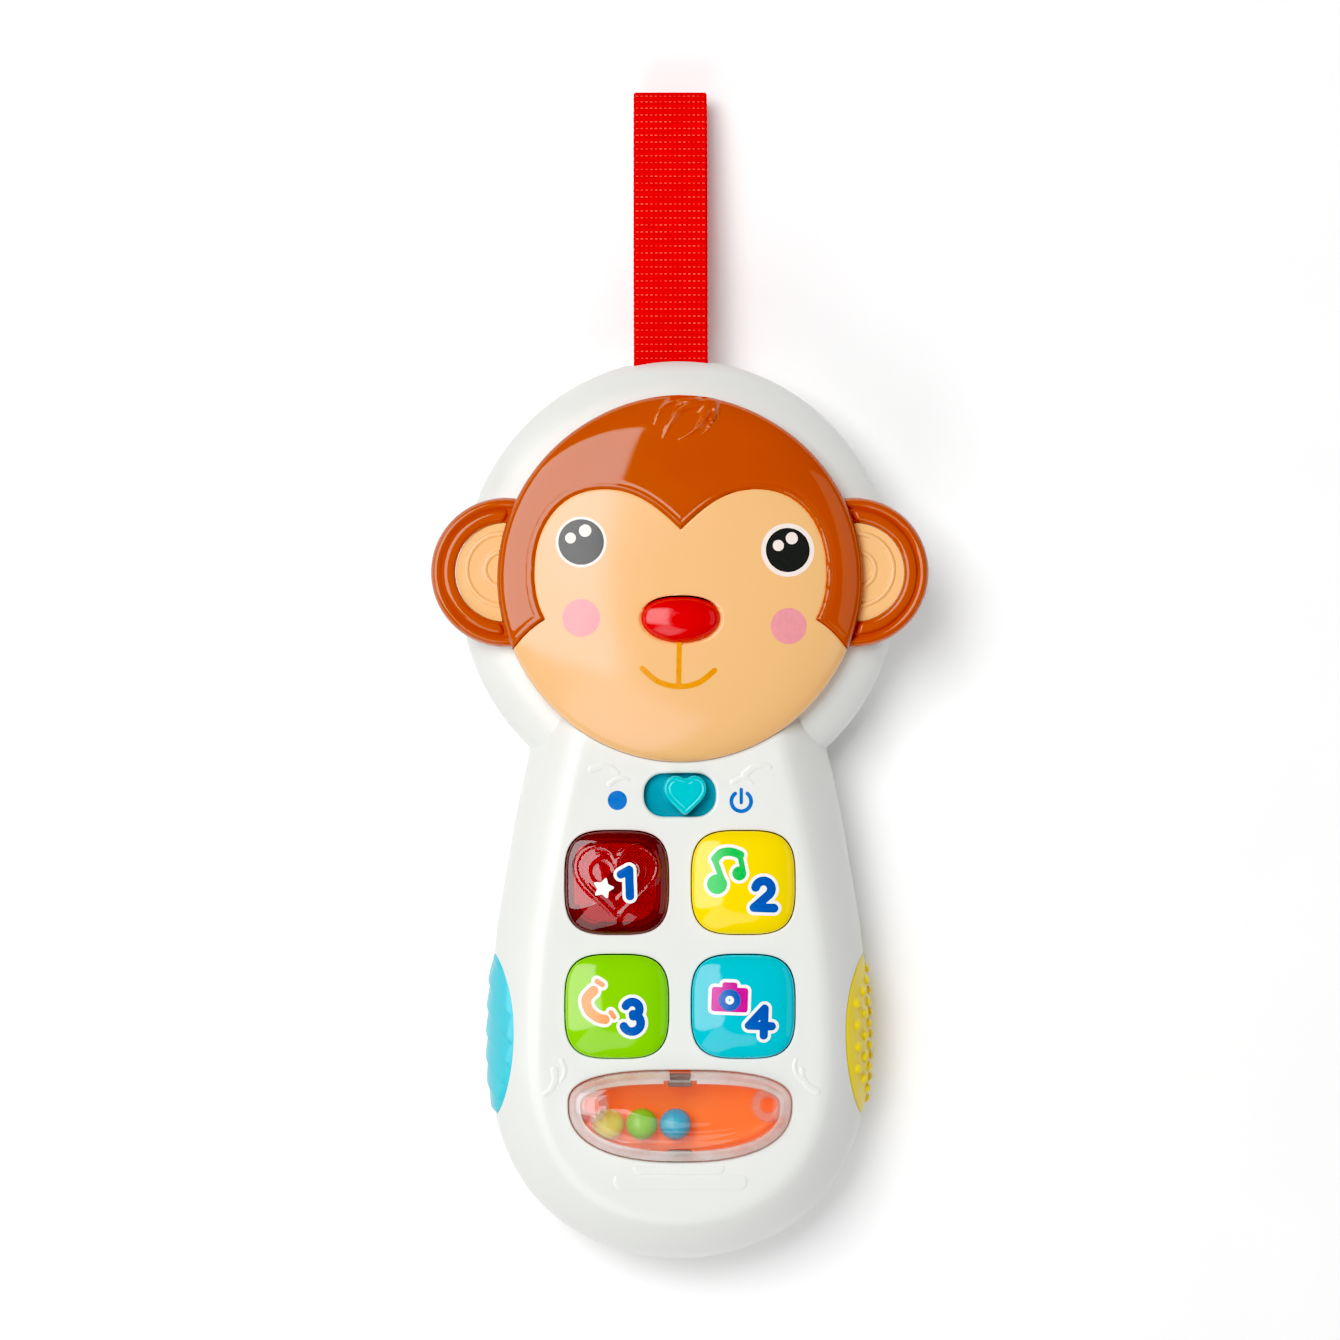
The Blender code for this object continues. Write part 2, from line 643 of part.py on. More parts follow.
def cap_levels(outline, wall, flange, z_post, z_ceiling, z_flange, z_shoulder, z_top, post_radius=2.0):
    """Outlines of a push button: a post, a hollow underside, a flange that holds it in, and a domed top."""
    count = len(outline(0))
    post = circle(post_radius, count=count)
    levels = [(post, z_post), (post, z_ceiling), (outline(-wall), z_ceiling), (outline(-wall), z_flange[0])]
    levels += [(outline(flange), z_flange[0]), (outline(flange), z_flange[1]), (outline(0), z_flange[1])]
    levels.append((outline(0), z_shoulder))
    for inset, share in ((0.5, 0.35), (1.5, 0.62), (3.4, 0.86)):
        levels.append((outline(-inset), z_shoulder + share * (z_top - z_shoulder)))
    return levels


def make_buttons(finishes):
    for number, (place, finish) in enumerate(zip(button_places(), finishes), 1):
        axis = axis_empty(f"button_{number}_axis", (*place, 0))
        levels = cap_levels(
            lambda grow: button_outline(grow - GAP), 1.6, 1.1, 23.2, 30.4, (25.9, 27.7), 30.9, 33.2
        )
        loft(f"button_{number}", levels, finish, parent=axis)
        dome = [(0, 19.9), (4.5, 19.9), (4.5, 20.7), (2.4, 22.9), (0, 22.9)]
        turned(f"dome_{number}", dome, MATERIALS["rubber"], sides=16, at=(*place, 0))
        if number == 1:
            outline = button_outline(-2.3 - GAP)
            plate = prism("button_1_reflector", outline, (28.7, 30.0), MATERIALS["silver"], parent=axis)
            hole = prism("reflector_hole", circle(2.0 + GAP, count=16), (28, 31), parent=axis)
            cut(plate, hole)


def make_nose(finishes):
    axis = axis_empty("nose_axis", (0, NOSE_Y, 0))
    levels = cap_levels(nose_outline, 1.4, 1.0, 31.6, 37.0, (34.2, 35.4), 38.3, 41.2, post_radius=1.6)
    loft("nose_button", levels, finishes["red"], parent=axis)
    dome = [(0, 28.4), (3.6, 28.4), (3.6, 29.2), (2.0, 31.3), (0, 31.3)]
    turned("nose_dome", dome, finishes["rubber"], sides=16, at=(0, NOSE_Y, 0))
    board = rectangle((-10, 10), (NOSE_Y - 5.5, NOSE_Y + 5.5), 1.5)
    prism("nose_board", board, (26.5, 28.1), finishes["board"])


PLUMP = 0.45


def heart(width, height, count=40):
    """A plump heart's outline, with its point down and the middle of its box at the origin."""
    raw = []
    for k in range(count):
        t = 2 * math.pi * k / count
        x = 16 * math.sin(t) ** 3
        y = 13 * math.cos(t) - 5 * math.cos(2 * t) - 2 * math.cos(3 * t) - math.cos(4 * t)
        raw.append((x * (1 - PLUMP) + 16 * math.sin(t) * PLUMP, y * (1 - PLUMP) + (14.5 * math.cos(t) - 1.5) * PLUMP))
    low, high = min(y for _, y in raw), max(y for _, y in raw)
    half = max(x for x, _ in raw)
    return [(-x * width / half / 2, (y - (low + high) / 2) * height / (high - low)) for x, y in raw]


def make_slider(finishes):
    axis = axis_empty("power_slider_axis", (KNOB_REST_X, SLOT_Y, 0))
    plate = rectangle((-10, 10), (-4.9, 4.55), 2.0)
    slider = prism("power_slider", plate, (26.2, 27.7), finishes["cyan"], parent=axis)
    knob_levels = [((8.6, 7.8), 27.0), ((8.6, 7.8), 31.0), ((7.9, 7.2), 31.7), ((6.4, 5.8), 32.0)]
    knob = loft("heart_knob", [(heart(*size), z) for size, z in knob_levels], parent=axis)
    join(slider, knob, prism("slider_fork", rectangle((-2.6, 2.6), (-2.0, 2.0)), (24.4, 26.8), parent=axis))
    lever_room = prism("lever_room", rectangle((-1.3, 1.3), (-1.05, 1.05)), (20, 26.5), parent=axis)
    cut(slider, lever_room)
    lever = rectangle((-1.0, 1.0), (-0.75, 0.75))
    prism("switch_lever", lever, (22.1, 26.2), finishes["black"], parent=axis)
    case = rectangle((-7.0, 7.0), (SLOT_Y - 2.6, SLOT_Y + 2.6))
    body = prism("switch_body", case, (19.9, 23.9), finishes["steel"])
    cut(body, prism("switch_track", rectangle((-4.8, 4.8), (SLOT_Y - 1.05, SLOT_Y + 1.05)), (21.8, 26)))


def make_board(finishes):
    outline = rectangle((-BOARD_HALF_X, BOARD_HALF_X), BOARD_Y, 2.0)
    board = prism("main_board", outline, (BOARD_Z, BOARD_Z + BOARD_THICK), finishes["board"])
    cut(board, prisms("board_holes", [(circle(1.5, place, 12), (15, 22)) for place in BOARD_SCREWS]))
    prism("sound_chip", rectangle((-5, 5), (-75.5, -65.5)), (19.9, 21.4), finishes["black"])
    led = [(0, 19.9), (1.5, 19.9), (1.5, 22.4), (1.0, 23.3), (0, 23.6)]
    turned("led", led, finishes["clear_red"], sides=12, at=(-BUTTON_X + 5.8, BUTTON_ROWS[0] - 5.0, 0))
    for number, place in enumerate(BOARD_SCREWS, 1):
        screw(f"board_screw_{number}", (*place, BOARD_Z - GAP), finishes["steel"], 2.2, 0.9, 1.4, 7.5)


def make_speaker(finishes):
    place = (0, DISC_CENTRE_Y, 0)
    frame = [
        (14.5, 2.5), (14.5, 4.3), (9.6, 8.6), (4.5, 8.6), (4.5, 7.6), (9.0, 7.6), (13.3, 3.7), (13.3, 2.5),
    ]
    turned("speaker_frame", frame, finishes["steel"], sides=28, hollow=True, at=place)
    cone = [(0, 6.2), (3.6, 6.2), (12.2, 2.8), (12.9, 2.8), (12.9, 3.3), (4.0, 6.9), (0, 6.9)]
    turned("speaker_cone", cone, finishes["black"], sides=28, at=place)
    magnet = [(0, 8.9), (8, 8.9), (8, 13.5), (0, 13.5)]
    turned("speaker_magnet", magnet, finishes["steel"], sides=24, at=place)


def make_rattle(finishes):
    inner = [(-6.4, 33.0), (-3.4, 32.3), (-1.9, 31.2), (-1.2, 29.8), (-1.2, 26.3)]
    flange = [(1.6, 26.3), (1.6, 27.7), (0, 27.7)]
    outer = [(0, 30.3), (-0.4, 31.6), (-1.6, 32.8), (-3.4, 33.6), (-6.4, 34.2)]
    levels = [(window_outline(grow), z) for grow, z in inner + flange + outer]
    window = loft("rattle_window", levels, finishes["clear"])
    section = [(3.4, 28.4), (3.4, 32.6), (1.6, 32.6), (1.6, 28.4)]
    for side, label in ((-1, "left"), (1, "right")):
        place = (side * WINDOW_BOSS_X, WINDOW_Y, 0)
        join(window, turned(f"window_boss_{label}", section, sides=14, hollow=True, at=place))
    tray = [(-1.1, 21.1), (-0.6, 26.0), (0.6, 26.0), (0.1, 19.9)]
    loft("rattle_tray", [(window_outline(grow), z) for grow, z in tray], finishes["orange"])
    for name, x in zip(("yellow", "green", "sky"), BEAD_X):
        bead = bmesh.new()
        bmesh.ops.create_uvsphere(bead, u_segments=12, v_segments=8, radius=BEAD_RADIUS)
        add_object(f"bead_{name}", bead, finishes[name], at=(x, BEAD_Y, 21.35 + BEAD_RADIUS))


def make_side_grips(finishes):
    for side, label, finish in ((-1, "left", finishes["cyan"]), (1, "right", finishes["yellow"])):
        pad = grip_pad_form(f"grip_{label}", GRIP_PAD_PROUD, finish)
        keep_inside(pad, pad_oval(f"grip_area_{label}", 0.0, side))
        cut(pad, grip_pad_form(f"grip_core_{label}", -GRIP_PAD_DEPTH))


def make_strap(finishes):
    line = evenly(spline_loop(STRAP_LOOP), 48)
    thick, wide = STRAP_THICK / 2, STRAP_WIDTH / 2
    section = [(thick, wide), (thick, -wide), (-thick, -wide), (-thick, wide)]
    moved = {out: moved_in(line, out) for out in (thick, -thick)}
    rings = [[(STRAP_X + x, *moved[out][k]) for out, x in section] for k in range(len(line))]
    add_object("strap", skin(rings, ring_closed=True), finishes["webbing"])
    y, z = STRAP_PIN
    radius, half = STRAP_PIN_RADIUS, 12.6
    pin = [(0, -half), (radius, -half), (radius, half), (0, half)]
    turned("strap_pin", pin, finishes["steel"], sides=16, at=(STRAP_X, y, z), rotation=(0, math.pi / 2, 0))


def make_cell(number, row, finishes):
    """One cell and its spring; the first has its nub at +X, the second at -X."""
    r, half = CELL_RADIUS, CELL_LENGTH / 2
    profile = [
        (0, -half), (r - 0.6, -half), (r, -half + 0.6), (r, half - 1.5), (r - 0.6, half - 0.9),
        (1.9, half - 0.9), (1.9, half), (0, half),
    ]
    side = 1 if number == 1 else -1
    plate_face = BAY_HALF_X - 0.7 - GAP
    middle = side * (plate_face - half)
    lying = (0, side * math.pi / 2, 0)
    turned(f"battery_{number}", profile, finishes["green"], at=(middle, row, CELL_Z), rotation=lying)
    start = middle - side * (half + GAP + SPRING_WIRE_RADIUS)
    stop = -side * (plate_face - SPRING_WIRE_RADIUS)
    coil = []
    for k in range(SPRING_STEPS + 1):
        share = k / SPRING_STEPS
        reach, turn = 2.2 + 1.4 * share, 2 * math.pi * SPRING_TURNS * share
        x = start + (stop - start) * share
        coil.append((x, row + reach * math.cos(turn), CELL_Z + reach * math.sin(turn)))
    tube(f"battery_spring_{number}", coil, SPRING_WIRE_RADIUS, finishes["steel"], 0)


def make_battery_bay(finishes):
    outline = rectangle((-COVER_HALF_X, COVER_HALF_X), COVER_Y, 1.7)
    cover = prism("battery_cover", outline, (0, COVER_THICK), finishes["white"])
    cut(cover, prisms("cover_hole", [(circle(1.9, (0, COVER_SCREW_Y), 12), (0.5, 3))]))
    cut(cover, prism("cover_sink", circle(2.9, (0, COVER_SCREW_Y), 16), (-1, 0.9)))
    screw("battery_cover_screw", (0, COVER_SCREW_Y, 0.65), finishes["steel"], 2.4, 0.9, 0.6, 8.0)
    for number, row in enumerate(CELL_ROWS, 1):
        make_cell(number, row, finishes)
    plate_x = (BAY_HALF_X - 0.7, BAY_HALF_X - GAP)
    bridge = rectangle((-plate_x[1], -plate_x[0]), (-76.5, -55.7))
    prism("battery_plate_bridge", bridge, PLATE_Z, finishes["steel"])
    for name, row in zip(("positive", "negative"), CELL_ROWS):
        plate = rectangle(plate_x, (row - 4.6, row + 4.6))
        prism(f"battery_plate_{name}", plate, PLATE_Z, finishes["steel"])


def make_wires(finishes):
    routes = {
        "speaker_wire": [(-6, 1.6, 8.0), (-6.5, -3, 9.5), (-7, -10, 13.0), (-8, -17, 15.6), (-9, -24, 17.0)],
        "battery_wire": [(20, -47, 16.2), (19, -43, 15.8), (17, -39, 16.6), (15, -35, 17.0)],
        "nose_wire": [
            (0, 6.4, 25.7), (0, 2.2, 25.0), (0, 0.5, 22.6), (0, -3.5, 18.8), (0, -12, 18.6), (0, -19.3, 18.8),
        ],
    }
    for name, points in routes.items():
        tube(name, smooth_route(points), 0.5, finishes["red"], 0)


def make_screws(finishes):
    for number, place in enumerate(HOUSING_SCREWS, 1):
        screw(f"housing_screw_{number}", (*place, 7.5 - GAP), finishes["steel"])
    for number, place in enumerate(FACE_SCREWS, 1):
        under = (*place, POCKET_FLOOR_Z - 2.0 - GAP)
        screw(f"face_screw_{number}", under, finishes["steel"], 2.6, 1.1, 1.8, 10.0)


for old in list(bpy.data.objects):
    bpy.data.objects.remove(old)
MATERIALS = make_materials()
make_front_housing(MATERIALS["white"])
make_rear_housing(MATERIALS["white"])
make_battery_bay(MATERIALS)
make_screws(MATERIALS)
make_face(MATERIALS["peach"])
make_hair(MATERIALS["brown"])
make_ear_insert("left", -1, MATERIALS["peach"])
make_ear_insert("right", 1, MATERIALS["peach"])
make_nose(MATERIALS)
make_slider(MATERIALS)
make_buttons([MATERIALS[name] for name in ("clear_red", "yellow", "green", "cyan")])
make_board(MATERIALS)
make_speaker(MATERIALS)
make_rattle(MATERIALS)
make_side_grips(MATERIALS)
make_strap(MATERIALS)
make_wires(MATERIALS)
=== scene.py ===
"""The toy phone's looks: fine shells, printed inks, clear and woven parts, studio light and camera.

Shapes are worked out in millimetres, with the same formulas as the CAD model's, and become
metres where a mesh is made. Everything lies in the CAD model's frame.
"""

import math

import bmesh
import bpy
import numpy as np
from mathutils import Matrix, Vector


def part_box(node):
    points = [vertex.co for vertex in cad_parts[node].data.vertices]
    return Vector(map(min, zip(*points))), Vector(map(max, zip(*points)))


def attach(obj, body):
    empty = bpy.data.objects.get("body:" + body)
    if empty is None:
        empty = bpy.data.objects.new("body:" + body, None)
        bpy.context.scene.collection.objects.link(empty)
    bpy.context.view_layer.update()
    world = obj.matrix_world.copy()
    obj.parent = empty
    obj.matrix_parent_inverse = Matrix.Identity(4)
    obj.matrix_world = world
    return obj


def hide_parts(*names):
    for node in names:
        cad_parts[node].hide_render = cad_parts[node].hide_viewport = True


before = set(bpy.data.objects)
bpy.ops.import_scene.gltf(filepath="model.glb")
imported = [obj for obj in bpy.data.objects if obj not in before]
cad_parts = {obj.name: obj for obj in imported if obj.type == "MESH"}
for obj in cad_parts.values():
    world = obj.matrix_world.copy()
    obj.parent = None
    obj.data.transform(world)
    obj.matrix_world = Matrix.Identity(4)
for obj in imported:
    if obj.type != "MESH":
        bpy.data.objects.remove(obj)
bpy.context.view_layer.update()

MM = 0.001
GAP = 0.3

# The body, as in the CAD model
Z_PARTING, Z_DISC, Z_FRONT, WALL = 14.0, 25.0, 30.0, 2.3
DISC_CENTRE_Y, DISC_RADIUS, DISC_REACH_UP = 17.4, 44.4, 46.3
GRIP_HALF_OUTLINE = [
    (0.0, -119.1), (11.5, -117.5), (22.0, -112.8), (30.2, -105.4), (35.6, -95.6), (38.1, -84.0),
    (38.3, -70.0), (37.2, -54.0), (35.2, -41.0), (32.8, -27.5), (30.6, -17.5), (28.2, -9.0),
    (23.6, -1.0), (14.0, 5.2), (0.0, 7.6),
]
GRIP_FRONT_PROFILE = [
    (14.0, 0.0), (18.0, 0.6), (22.5, 2.5), (26.5, 5.2), (29.0, 7.8), (29.85, 9.6), (30.0, 11.4),
]
DISC_FRONT_PROFILE = [(14.0, 0.0), (18.0, 0.5), (21.5, 2.2), (24.0, 5.2), (24.9, 7.9), (25.0, 9.8)]
REAR_PROFILE = [(0.0, 9.4), (0.25, 7.4), (0.8, 6.2), (2.8, 3.2), (6.5, 1.0), (14.0, 0.0)]
POCKET_FLOOR_Z = 23.4
OUTLINE_POINTS, CORNER_STEPS, BEZIER_STEPS = 260, 8, 14

# Face, as in the CAD model
FACE_CENTRE_Y = 16.55
FACE_RADII = [39.0, 38.35, 37.5, 36.4, 35.05, 34.5, 34.4]
FACE_RIM_Z, FACE_DOME, FACE_WALL, HAIR_STEP = 30.6, 7.9, 1.8, 0.7
FACE_BEZIER = [
    [(0.0, 28.4), (5.6, 34.0), (9.6, 36.5), (15.3, 36.5)],
    [(15.3, 36.5), (24.0, 36.5), (29.1, 29.4), (29.1, 20.05)],
    [(29.1, 20.05), (29.1, 16.1), (28.4, 13.2), (26.9, 10.6)],
    [(26.9, 10.6), (29.5, 9.2), (32.2, 6.6), (34.6, 2.9)],
]
EAR_X, EAR_Y, EAR_RADIUS, EAR_HOLE_RADIUS, EAR_BASE_Z = 35.0, 20.15, 15.0, 10.0, 20.6
EAR_INSERT_TOP, EAR_RIBS, EAR_RIB_X, EAR_RIB_Y = 28.7, (3.5, 7.2), 35.6, 20.7
EAR_EDGE_Z, EAR_RING_RISE, EAR_RING_RIB, EAR_CHANNEL = 27.6, 2.35, 11.3, 13.6

# Controls, as in the CAD model
BUTTON_X, BUTTON_ROWS = 12.65, (-42.0, -66.8)
BUTTON_HALF, BUTTON_POWER = 10.5, 3.4
NOSE_Y, NOSE_HALF = 10.7, (7.9, 4.4)
SLOT_Y, SLOT_HALF, KNOB_REST_X = -24.5, (7.2, 4.35), 1.0
WINDOW_Y, WINDOW_HALF_X, WINDOW_UP, WINDOW_DOWN = -86.5, 22.2, 6.7, 11.3
WINDOW_POWER_UP, WINDOW_POWER_DOWN, WINDOW_BOSS_X = 2.7, 2.4, 17.7
BEAD_RADIUS = 3.25
GRIP_PAD_Y, GRIP_PAD_Z, GRIP_PAD_HALF = -73.3, 14.0, (16.3, 12.0)
GRIP_PAD_PROUD, GRIP_PAD_DEPTH = 0.8, 0.9

# Strap and back, as in the CAD model
STRAP_X, STRAP_WIDTH, STRAP_THICK = -1.6, 15.0, 1.3
RIB_PITCH, THREAD_PITCH, WEAVE_PHASE = 1.44, 0.97, 0.5
STRAP_LOOP = [
    (49.0, 14.0), (52.6, 17.4), (62.0, 16.5), (75.0, 15.4), (95.0, 13.2), (109.0, 10.8), (116.2, 8.9),
    (118.5, 6.2), (115.8, 3.6), (108.0, 2.1), (94.0, 1.5), (80.0, 3.4), (68.0, 8.0), (60.0, 10.7),
    (52.6, 10.6),
]
COVER_HALF_X, COVER_Y, COVER_THICK, COVER_SCREW_Y = 25.6, (-78.2, -47.9), 1.7, -51.2
HOUSING_SCREWS = [
    (side * x, y) for x, y in ((30.0, 40.5), (25.0, -11.0), (17.0, -103.0)) for side in (1, -1)
]
GRILLE_SLOTS = [(-8, 6.5), (-4, 9.0), (0, 10.0), (4, 9.0), (8, 6.5)]

# Looks: edge angles, the distance at which points merge, the foil's grid, and how high inks lie
SMOOTH_ANGLE, RIM_ANGLE, SCREW_ANGLE = math.radians(38), math.radians(50), math.radians(30)
MERGE = 0.004
FOIL_PITCH = 0.62
INK_FILM, BACKING_LIFT, SIGN_LIFT, INK_LIFT, GLINT_LIFT = 0.04, 0.02, 0.03, 0.05, 0.08


# Materials. Places in a material come from the object's own coordinates, which are metres.


def new_material(name):
    made = bpy.data.materials.new(name)
    made.use_nodes = True
    tree = made.node_tree
    shader = tree.nodes["Principled BSDF"]
    return made, tree, shader


def add(tree, kind, **values):
    """A node with its properties and input values set; input names have _ for a space."""
    node = tree.nodes.new(kind)
    for key, value in values.items():
        name = key.replace("_", " ")
        if name in node.inputs:
            node.inputs[name].default_value = value
        else:
            setattr(node, key, value)
    return node


def noise(tree, scale, detail=3.0):
    """A noise over the object's own coordinates, in features per metre."""
    place = tree.nodes.get("place") or add(tree, "ShaderNodeTexCoord", name="place")
    made = add(tree, "ShaderNodeTexNoise", Scale=scale, Detail=detail)
    tree.links.new(place.outputs["Object"], made.inputs["Vector"])
    return made.outputs["Fac"]


def spread(tree, value, low, high, start=0.3, stop=0.7):
    """The value, spread from low to high where it runs from start to stop."""
    node = add(tree, "ShaderNodeMapRange", From_Min=start, From_Max=stop, To_Min=low, To_Max=high)
    tree.links.new(value, node.inputs["Value"])
    return node.outputs["Result"]


def maths(tree, operation, *values):
    """The result of a maths node; each value is a number or the output of another node."""
    node = add(tree, "ShaderNodeMath", operation=operation)
    for socket, value in zip(node.inputs, values):
        if isinstance(value, float):
            socket.default_value = value
        else:
            tree.links.new(value, socket)
    return node.outputs[0]


def mix_shaders(tree, *share_and_two):
    node = tree.nodes.new("ShaderNodeMixShader")
    for socket, output in zip(node.inputs, share_and_two):
        tree.links.new(output, socket)
    return node.outputs[0]


def own_place(tree, node, output):
    """The place on the piece from a coordinate node, split into its axes."""
    place = tree.nodes.new(node)
    split = tree.nodes.new("ShaderNodeSeparateXYZ")
    tree.links.new(place.outputs[output], split.inputs[0])
    return split.outputs


def mix_colours(tree, share, first, second):
    node = tree.nodes.new("ShaderNodeMix")
    node.data_type = "RGBA"
    tree.links.new(share, node.inputs["Factor"])
    for socket, colour in (("A", first), ("B", second)):
        target = next(s for s in node.inputs if s.name == socket and s.type == "RGBA")
        if isinstance(colour, tuple):
            target.default_value = (*colour, 1.0)
        else:
            tree.links.new(colour, target)
    return next(s for s in node.outputs if s.type == "RGBA")


def bump(tree, shader, height, strength, distance):
    node = add(tree, "ShaderNodeBump", Strength=strength, Distance=distance)
    tree.links.new(height, node.inputs["Height"])
    tree.links.new(node.outputs["Normal"], shader.inputs["Normal"])
    return node


def linear(colour):
    """Scene-linear colour from the usual 0 to 255 screen values."""
    return tuple((c / 255 / 12.92) if c <= 10 else ((c / 255 + 0.055) / 1.055) ** 2.4 for c in colour)


def mottled(name, colours, colour_scale, roughness, rough_scale, rough_detail=3.0):
    """A material whose colour and roughness each drift between two values."""
    made, tree, shader = new_material(name)
    shade = mix_colours(tree, spread(tree, noise(tree, colour_scale), 0.0, 1.0), *colours)
    tree.links.new(shade, shader.inputs["Base Color"])
    rough = spread(tree, noise(tree, rough_scale, rough_detail), *roughness)
    tree.links.new(rough, shader.inputs["Roughness"])
    return made, tree, shader


def plastic(name, colour, roughness, grain=0.04, fade=0.05, coat=0.0):
    """Moulded plastic: fine grain, slow waves from the mould, and a colour that drifts a little."""
    base = linear(colour)
    darker = tuple(c * (1 - fade) for c in base)
    rough_range = (roughness * 0.82, roughness * 1.2)
    made, tree, shader = mottled(name, (darker, base), 45.0, rough_range, 220.0, 5.0)
    shader.inputs["Coat Weight"].default_value = coat
    shader.inputs["Coat Roughness"].default_value = 0.04
    height = maths(tree, "MULTIPLY_ADD", noise(tree, 2600.0, 2.0), 0.12, noise(tree, 60.0, 1.0))
    bump(tree, shader, height, grain, 0.0006)
    made.diffuse_color = (*base, 1.0)
    return made


def ink(name, colour, roughness=0.3):
    """Pad-printed ink: thin, with small screen mottling."""
    base = linear(colour)
    paler = tuple(min(1.0, c * 1.08) for c in base)
    made, tree, shader = mottled(name, (base, paler), 900.0, (roughness * 0.8, roughness * 1.25), 500.0)
    bump(tree, shader, noise(tree, 3000.0), 0.06, 0.0002)
    return made


def clear_plastic(name, tint, gloss_roughness, haze, haze_colour):
    """Thin clear plastic: light goes straight through, with a glancing mirror and a faint haze."""
    made, tree, shader = new_material(name)
    tree.nodes.remove(shader)
    straight = add(tree, "ShaderNodeBsdfTransparent", Color=(*tint, 1.0))
    body = add(tree, "ShaderNodeBsdfPrincipled", Roughness=0.3, Base_Color=(*haze_colour, 1.0))
    cloud = spread(tree, noise(tree, 140.0, 4.0), haze * 0.6, haze * 1.5)
    veil = mix_shaders(tree, cloud, straight.outputs[0], body.outputs[0])
    gloss = add(tree, "ShaderNodeBsdfGlossy", Roughness=gloss_roughness)
    edge = add(tree, "ShaderNodeFresnel", IOR=1.65)
    wave = add(tree, "ShaderNodeBump", Strength=0.08, Distance=0.0005)
    tree.links.new(noise(tree, 170.0, 2.0), wave.inputs["Height"])
    for node in (gloss, edge):
        tree.links.new(wave.outputs["Normal"], node.inputs["Normal"])
    mirrored = maths(tree, "MINIMUM", edge.outputs[0], 0.3)
    shine = mix_shaders(tree, mirrored, veil, gloss.outputs[0])
    tree.links.new(shine, tree.nodes["Material Output"].inputs["Surface"])
    return made


def metal(name, colour, roughness):
    """Plated steel with fine drawing lines and small stains."""
    base = linear(colour)
    dull = tuple(c * 0.8 for c in base)
    made, tree, shader = mottled(name, (dull, base), 400.0, (roughness * 0.7, roughness * 1.3), 900.0)
    shader.inputs["Metallic"].default_value = 1.0
    bump(tree, shader, noise(tree, 4000.0), 0.1, 0.0002)
    return made


def foil_grid(name):
    """A reflector: metallised plastic moulded into a fine grid of small bosses."""
    made, tree, shader = new_material(name)
    axes = own_place(tree, "ShaderNodeTexCoord", "Object")
    rate = 2 * math.pi / (FOIL_PITCH * MM)
    waves = [maths(tree, "SINE", maths(tree, "MULTIPLY", axes[axis], rate)) for axis in ("X", "Y")]
    cells = maths(tree, "MULTIPLY", *waves)
    # The base colour darkens in the hollows between the bosses, following the bump's own field: painted
    # shade.
    shade = mix_colours(tree, spread(tree, cells, 0.0, 1.0, -0.5, 0.6), (0.3, 0.3, 0.3), (0.95, 0.95, 0.95))
    tree.links.new(shade, shader.inputs["Base Color"])
    shader.inputs["Metallic"].default_value = 0.9
    shader.inputs["Roughness"].default_value = 0.35
    bump(tree, shader, cells, 0.6, 0.0002)
    return made


def webbing(name):
    """Woven nylon: cross ribs, and pale dashes between them that are painted highlight on the warp threads.

    Its UV map is in millimetres.
    """
    made, tree, shader = new_material(name)
    axes = own_place(tree, "ShaderNodeUVMap", "UV")

    def wave(axis, pitch):
        turns = maths(tree, "MULTIPLY_ADD", axes[axis], 2 * math.pi / pitch, WEAVE_PHASE)
        return maths(tree, "COSINE", turns)

    def product(a, b):
        return maths(tree, "MULTIPLY", a, b)

    thread = wave("X", THREAD_PITCH)
    valley = spread(tree, wave("Y", RIB_PITCH), 1.0, 0.0, -0.98, -0.6)
    dash = spread(tree, thread, 0.0, 1.0, -0.5, 0.1)
    # Painted highlight: pale dashes on the warp threads in the valleys between the ribs, broken up by a
    # noise.
    glint_breakup = spread(tree, noise(tree, 420.0, 4.0), 0.3, 1.0, 0.35, 0.6)
    painted_glints = product(product(valley, dash), glint_breakup)
    red, deep, pale = linear((234, 1, 3)), linear((222, 0, 2)), linear((250, 92, 78))
    ground = mix_colours(tree, spread(tree, noise(tree, 300.0, 6.0), 0.0, 1.0), deep, red)
    tree.links.new(mix_colours(tree, painted_glints, ground, pale), shader.inputs["Base Color"])
    shader.inputs["Roughness"].default_value = 0.8
    shader.inputs["Specular IOR Level"].default_value = 0.2
    weave = product(thread, wave("Y", RIB_PITCH / 4))
    height = maths(tree, "MULTIPLY_ADD", weave, 0.5, noise(tree, 2500.0, 3.0))
    bump(tree, shader, height, 0.35, 0.0002)
    return made


